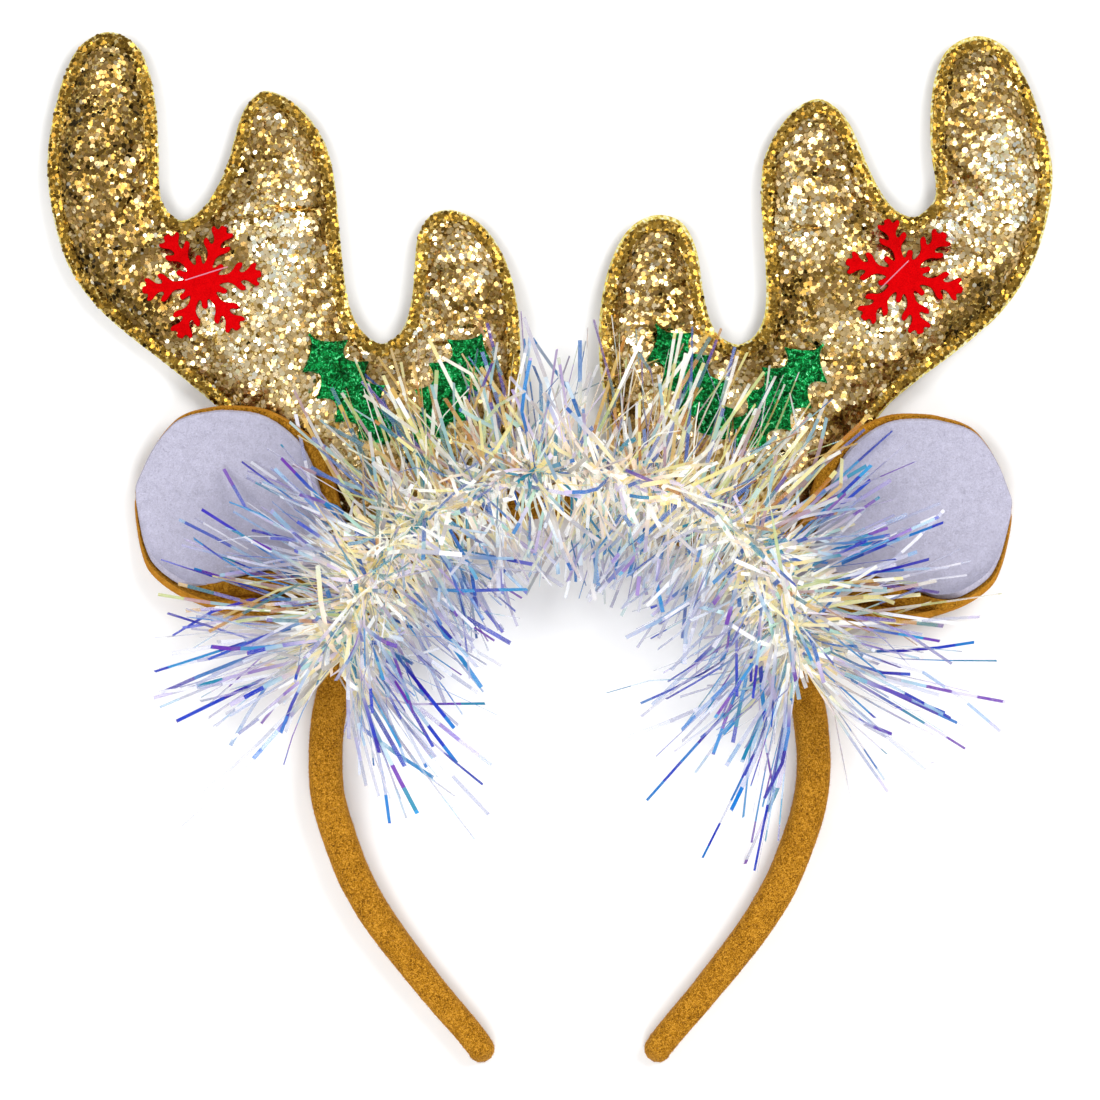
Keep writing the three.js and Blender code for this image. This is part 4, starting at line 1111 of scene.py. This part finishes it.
def iridescent_film():
    """Clear film with an interference coating. Most strips look pale, and some blue, teal or
    violet. Over gold cloth and brown felt their warm colours are a painted reflection of its light.

    Each corner's mark holds its place along the strip, the strip's seed, how far out it is, and
    whether it lies over warm cloth.
    """
    stuff, tree = new_material("iridescent_clear_film")
    mark = add(tree, "Attribute", attribute_name="film")
    parts = add(tree, "SeparateColor", {"Color": mark.outputs["Color"]})
    along, seed, reach = parts.outputs
    # A strip changes its colour every 7 mm, and stays near the one that its seed gives.
    shift = add(tree, "Math", {0: seed, 1: 977.0}, operation="MULTIPLY")
    cells = add(tree, "Math", {0: along, 1: 6.0, 2: shift.outputs[0]}, operation="MULTIPLY_ADD")
    cell = add(tree, "Math", {0: cells.outputs[0]}, operation="FLOOR")
    chance = add(tree, "TexWhiteNoise", {"W": cell.outputs[0]}, noise_dimensions="1D")
    strand = add(tree, "TexWhiteNoise", {"W": shift.outputs[0]}, noise_dimensions="1D")
    early = add(tree, "Math", {0: strand.outputs["Value"], 1: 0.13}, operation="SUBTRACT")
    mixed = add(tree, "Math", {0: chance.outputs["Value"], 1: 0.26, 2: early.outputs[0]},
                operation="MULTIPLY_ADD", use_clamp=True)
    # Further out: blue, teal, violet and pale lavender film, with a near-white band that is a
    # painted glint.
    outer = add(tree, "ValToRGB", {"Fac": mixed.outputs[0]}, stops=[
        (0.00, "#2408A0"), (0.05, "#0630B8"), (0.12, "#0C74C4"), (0.17, "#8CBEE0"),
        (0.23, "#C6C8DE"), (0.40, "#F2F2F8"), (0.52, "#A4A6C2"), (0.68, "#C0B4E2"),
        (0.74, "#A4CEE4"), (0.80, "#0A84A4"), (0.83, "#6418A2"), (0.88, "#0A2AAE"),
        (0.95, "#1C90CC")])
    # Near the wires: whites and creams are painted glints on the crumpled film, and greys are
    # painted shade between strips.
    inner = add(tree, "ValToRGB", {"Fac": mixed.outputs[0]}, stops=[
        (0.00, "#1482A0"), (0.04, "#F0E4B4"), (0.16, "#FFFFFC"), (0.32, "#B4AEA6"),
        (0.44, "#F6F6F0"), (0.57, "#F6E2CC"), (0.66, "#A09890"), (0.71, "#F0DC98"),
        (0.80, "#DED4EA"), (0.89, "#B4DCD0"), (0.96, "#2458A8")])
    # Over gold cloth and brown felt: warm colours that are a painted reflection of it, with painted
    # white glints.
    golden = add(tree, "ValToRGB", {"Fac": mixed.outputs[0]}, stops=[
        (0.00, "#4A1E9C"), (0.05, "#0E6E84"), (0.11, "#B87820"), (0.20, "#D6B262"),
        (0.30, "#F0E8A0"), (0.42, "#FFFFF8"), (0.56, "#C2CE8A"), (0.63, "#DCDAD4"),
        (0.76, "#B898A0"), (0.82, "#9CC4CC"), (0.91, "#2458B0")])
    for ramp in (outer, inner, golden):
        ramp.color_ramp.interpolation = "CONSTANT"
    tone = add(tree, "Mix", {0: reach, 6: inner.outputs[0], 7: outer.outputs[0]}, data_type="RGBA")
    warm = add(tree, "Mix", {0: mark.outputs["Alpha"], 6: tone.outputs[2], 7: golden.outputs[0]},
               data_type="RGBA")
    # At a strip's end, pale film passes 61% of the light, the painted white glints 31%, the rest
    # 7%.
    pale = add(tree, "Math", {0: mixed.outputs[0], 1: 0.485, 2: 0.315}, operation="COMPARE")
    white = add(tree, "Math", {0: mixed.outputs[0], 1: 0.47, 2: 0.07}, operation="COMPARE")
    thin = add(tree, "Math", {0: pale.outputs[0], 1: -0.54, 2: 0.93}, operation="MULTIPLY_ADD")
    clear = add(tree, "Math", {0: white.outputs[0], 1: 0.30, 2: thin.outputs[0]},
                operation="MULTIPLY_ADD")
    dense = add(tree, "Mix", {0: reach, 2: 0.92, 3: clear.outputs[0]}, data_type="FLOAT")
    over = add(tree, "Mix", {0: mark.outputs["Alpha"], 2: dense.outputs[0], 3: 0.58},
               data_type="FLOAT")
    # A faint glow stands in for the light that strips pass on to one another.
    glow = add(tree, "MapRange", {0: reach, 1: 0.0, 2: 1.0, 3: 0.22, 4: 0.09})
    skin = add(tree, "BsdfPrincipled", {
        "Base Color": warm.outputs[2], "Roughness": 0.16, "IOR": 1.6, "Metallic": 0.0,
        "Specular IOR Level": 0.5, "Alpha": over.outputs[0], "Emission Color": warm.outputs[2],
        "Emission Strength": glow.outputs[0]})
    add(tree, "OutputMaterial", {"Surface": skin.outputs[0]})
    stuff.cycles.emission_sampling = "NONE"
    return stuff


def under_strands(places):
    """The height of the padding or felt under each place, and whether it is gold or brown."""
    surfaces = [*antler_surface.values(), *ear_surfaces]
    warm = [True] * len(antler_surface) + [True, False] * (len(ear_surfaces) // 2)
    heights, golden = np.zeros(len(places)), np.zeros(len(places))
    for at, (x, y, _) in enumerate(places):
        for surface, colour in zip(surfaces, warm):
            found = under(surface, x, y)
            if found is not None and found.z > heights[at]:
                heights[at], golden[at] = found.z, colour
    return heights, golden


def beside_arms(path):
    """Which strips stay clear of the bare arms of the band below the garland."""
    bare = np.abs(BAND_TRAVEL - BAND_HALF) > TINSEL_HALF + BARE_MARGIN
    arms = BAND_LINE[bare][::8]
    places = np.concatenate([path, (path[:, 1:] + path[:, :-1]) / 2], axis=1)[:, :, None, :2]
    return np.linalg.norm(places - arms, axis=3).min(axis=(1, 2)) > BAND_WIDTH / 2


def strand_paths(kind, rng):
    """Middle lines of the strips from the wires outwards, with their lean, curl and kinks."""
    count, width, shortest, longest, curl, kinked = STRANDS[kind]
    share = rng.uniform(-1.04, 1.04, count)
    if kind == "laid":
        share = np.linspace(-0.85, 0.85, count) + 0.5 * share / count
    share = np.sign(share) * np.minimum(1, np.abs(share) ** 0.92)
    distance = TINSEL_HALF * share
    start, along, away = garland_place(distance)
    # Lift turns a strip from straight outwards over upright to straight inwards. Most lie flat.
    lift = np.radians(90 + 94 * np.sign(rng.uniform(-1, 1, count)) * rng.random(count) ** 0.55)
    lean = np.radians(50 * np.sign(share) * np.abs(share) ** 4 + rng.normal(0, 17, count))
    if kind == "core":
        lift = np.radians(rng.uniform(-20, 200, count))
        lean = np.radians(rng.normal(0, 55, count))
    if kind == "laid":
        lift = np.radians(rng.uniform(60, 120, count))
        lean = np.radians(rng.uniform(15, 50, count) * np.sign(rng.uniform(-1, 1, count)))
    upright = np.array([0.0, 0.0, 1.0])
    way = away * np.cos(lift)[:, None] + upright * np.sin(lift)[:, None]
    way = unit(way * np.cos(lean)[:, None] + along * np.sin(lean)[:, None])
    # Strips are longer at the garland's ends, shorter inside the arch, and shorter upright.
    length = rng.uniform(shortest, longest, count) * (1 + 0.4 * np.abs(share) ** 4)
    length *= 1 - 0.25 * (np.cos(lift) < 0) * (1 - np.abs(share))
    length *= 1 - 0.25 * np.sin(np.clip(lift, 0, math.pi)) ** 2
    # A strip bends evenly one way, and a kinked one turns off another way at its kink.
    bend = unit(np.cross(way, rng.normal(size=(count, 3))))
    turn = unit(np.cross(way, rng.normal(size=(count, 3))))
    kink_at = rng.uniform(0.35, 0.8, count)
    kink = np.where(rng.random(count) < kinked, rng.uniform(0.3, 1.1, count), 0)
    shares = np.linspace(0, 1, STRAND_STEPS)
    curls = rng.normal(0, curl, count) * 0.5
    reach = shares[None, :, None] * length[:, None, None]
    path = start[:, None] + way[:, None] * reach
    path = path + bend[:, None] * (curls[:, None, None] * reach * shares[None, :, None])
    later = np.maximum(0, shares[None] - kink_at[:, None])[:, :, None]
    path = path + turn[:, None] * later * (kink * length)[:, None, None]
    if kind == "laid":
        path[:, :, 2] += LAID_RISE * np.clip(shares / 0.25, 0, 1)
    width = width * rng.uniform(0.8, 1.15, count)
    kept = beside_arms(path) | (rng.random(count) < STRAY_SHARE)
    path, width, length = path[kept], width[kept], length[kept]
    floor, golden = under_strands(path.reshape(-1, 3))
    path[:, :, 2] = np.maximum(path[:, :, 2], floor.reshape(len(path), -1) + 0.7 * MM)
    path[:, :, 2] = np.minimum(path[:, :, 2], cad_high.z + 2 * MM)
    over_gold = golden.reshape(len(path), -1)[:, 3:].mean(axis=1) > 0.6
    over_gold &= kind != "core"
    return path, width, length, over_gold, share[kept]


def strips(kind, rng):
    """Closed flat strips along their paths, slowly twisting, with the marks for their colours."""
    path, width, length, over_gold, share = strand_paths(kind, rng)
    count, steps = path.shape[:2]
    tangent = unit(np.gradient(path, axis=1))
    across = unit(np.cross(tangent, rng.normal(size=(count, 1, 3))))
    normal = np.cross(tangent, across)
    shares = np.linspace(0, 1, steps)[None, :]
    roll = rng.uniform(0, math.pi, (count, 1)) + rng.normal(0, 0.7, (count, 1)) * shares
    side = across * np.cos(roll)[:, :, None] + normal * np.sin(roll)[:, :, None]
    face = np.cross(tangent, side)
    half = (side * width[:, None, None] / 2, face * FILM_THICK / 2)
    corners = np.stack([path + half[0] + half[1], path - half[0] + half[1],
                        path - half[0] - half[1], path + half[0] - half[1]], axis=2)
    corners[..., 2] = np.maximum(corners[..., 2], 0.1 * MM)
    marks = np.zeros((count, steps, 4, 4))
    marks[..., 0] = (shares * length[:, None] / (40 * MM))[:, :, None]
    marks[..., 1] = rng.random(count)[:, None, None]
    # The inner part of a strip is pale, and so is all of it near the garland's middle.
    reach = shares * length[:, None] / (30 * MM)
    calm = 1 - 0.5 * np.exp(-(share / 0.4) ** 2)
    marks[..., 2] = (np.clip((reach - 0.42) / 0.45, 0, 1) * calm[:, None])[:, :, None]
    marks[..., 3] = over_gold[:, None, None]
    faces = []
    for strand in range(count):
        first = strand * steps * 4
        for step in range(steps - 1):
            at = first + 4 * step
            faces += [(at + k, at + (k + 1) % 4, at + 4 + (k + 1) % 4, at + 4 + k)
                      for k in range(4)]
        faces += [(first + 3, first + 2, first + 1, first),
                  tuple(first + 4 * (steps - 1) + k for k in range(4))]
    return corners.reshape(-1, 3), faces, marks.reshape(-1, 4)


FILM = iridescent_film()
rng = np.random.default_rng(52)
for kind in STRANDS:
    corners, faces, marks = strips(kind, rng)
    made = make_piece(f"tinsel_{kind}_strips", corners, faces, [FILM],
                      ["tinsel_garland"], crease=20)
    mark_corners(made, "film", marks)

# Each wire's radius, and the length of one full twist.
WIRE_RADIUS = 0.3 * MM
WIRE_TWIST = 5 * MM


def garland_wire():
    """Thin galvanised steel wire, drawn and slightly dull."""
    stuff, tree = new_material("galvanised_steel_wire")
    skin = add(tree, "BsdfPrincipled", {
        "Base Color": linear("#9A9A98"), "Metallic": 1.0, "Roughness": 0.35})
    add(tree, "OutputMaterial", {"Surface": skin.outputs[0]})
    return stuff


corners, faces = [], []
travel = np.arange(-TINSEL_HALF, TINSEL_HALF, 0.6 * MM)
middle, _, aside = garland_place(travel)
for phase in (0, math.pi):
    turn = (travel / WIRE_TWIST * 2 * math.pi + phase)[:, None]
    helix = middle + WIRE_RADIUS * (np.cos(turn) * aside + np.sin(turn) * np.array([0, 0, 1.0]))
    start = len(corners)
    more, skin_faces = tube(helix, WIRE_RADIUS)
    corners += more
    faces += [tuple(start + corner for corner in face) for face in skin_faces]
make_piece("tinsel_twisted_wires", corners, faces, [garland_wire()])

# ---- Studio --------------------------------------------------------------------------------
# A white table under soft boxes, seen straight from above, as for a shop's catalogue. The boxes
# are bright and the room is dim, so that foil shows both white glints and dark sides.

CAMERA_HEIGHT = 1.6
VIEW_WIDTH = 286 * MM
VIEW_CENTRE = (-5.07 * MM, -13.13 * MM)
OBJECT_LEVEL = 6 * MM
SENSOR = 36
TABLE_SIZE = 6.0
ROOM_LIGHT = 0.42
SOFT_BOXES = [
    # place, diameter, power in watts
    ((0.9, 0.62, 1.38), 0.9, 19),
    ((-0.95, 0.35, 1.25), 0.8, 11),
    ((0.1, -1.15, 1.3), 0.9, 13),
]

bpy.ops.mesh.primitive_grid_add(x_subdivisions=8, y_subdivisions=8, size=TABLE_SIZE,
                                location=(0, 0, -0.05 * MM))
table = bpy.context.object
table.name = "white_table"
paper, tree = new_material("matt_white_paper")
grain = add(tree, "TexNoise", {"Scale": 400.0, "Detail": 2.0})
tone = add(tree, "ValToRGB", {"Fac": grain.outputs[0]}, stops=[(0.3, "#F4F4F4"), (0.7, "#F8F8F8")])
skin = add(tree, "BsdfPrincipled", {"Base Color": tone.outputs[0], "Roughness": 0.9,
                                    "Specular IOR Level": 0.1})
add(tree, "OutputMaterial", {"Surface": skin.outputs[0]})
table.data.materials.append(paper)

for number, (place, size, power) in enumerate(SOFT_BOXES):
    light = bpy.data.lights.new(f"soft_box_{number}", "AREA")
    light.shape = "DISK"
    light.size = size
    light.energy = power
    holder = bpy.data.objects.new(light.name, light)
    holder.location = place
    holder.rotation_mode = "QUATERNION"
    holder.rotation_quaternion = (-Vector(place)).to_track_quat("-Z", "Y")
    bpy.context.scene.collection.objects.link(holder)

world = bpy.data.worlds.new("dim_room")
world.use_nodes = True
world.node_tree.nodes["Background"].inputs["Color"].default_value = (1, 1, 1, 1)
world.node_tree.nodes["Background"].inputs["Strength"].default_value = ROOM_LIGHT
bpy.context.scene.world = world
bpy.context.scene.view_settings.view_transform = "Standard"

camera = bpy.data.objects.new("camera", bpy.data.cameras.new("camera"))
camera.location = (*VIEW_CENTRE, CAMERA_HEIGHT)
camera.data.sensor_width = SENSOR
camera.data.lens = SENSOR * (CAMERA_HEIGHT - OBJECT_LEVEL) / VIEW_WIDTH
bpy.context.scene.collection.objects.link(camera)
bpy.context.scene.camera = camera

bpy.context.view_layer.update()
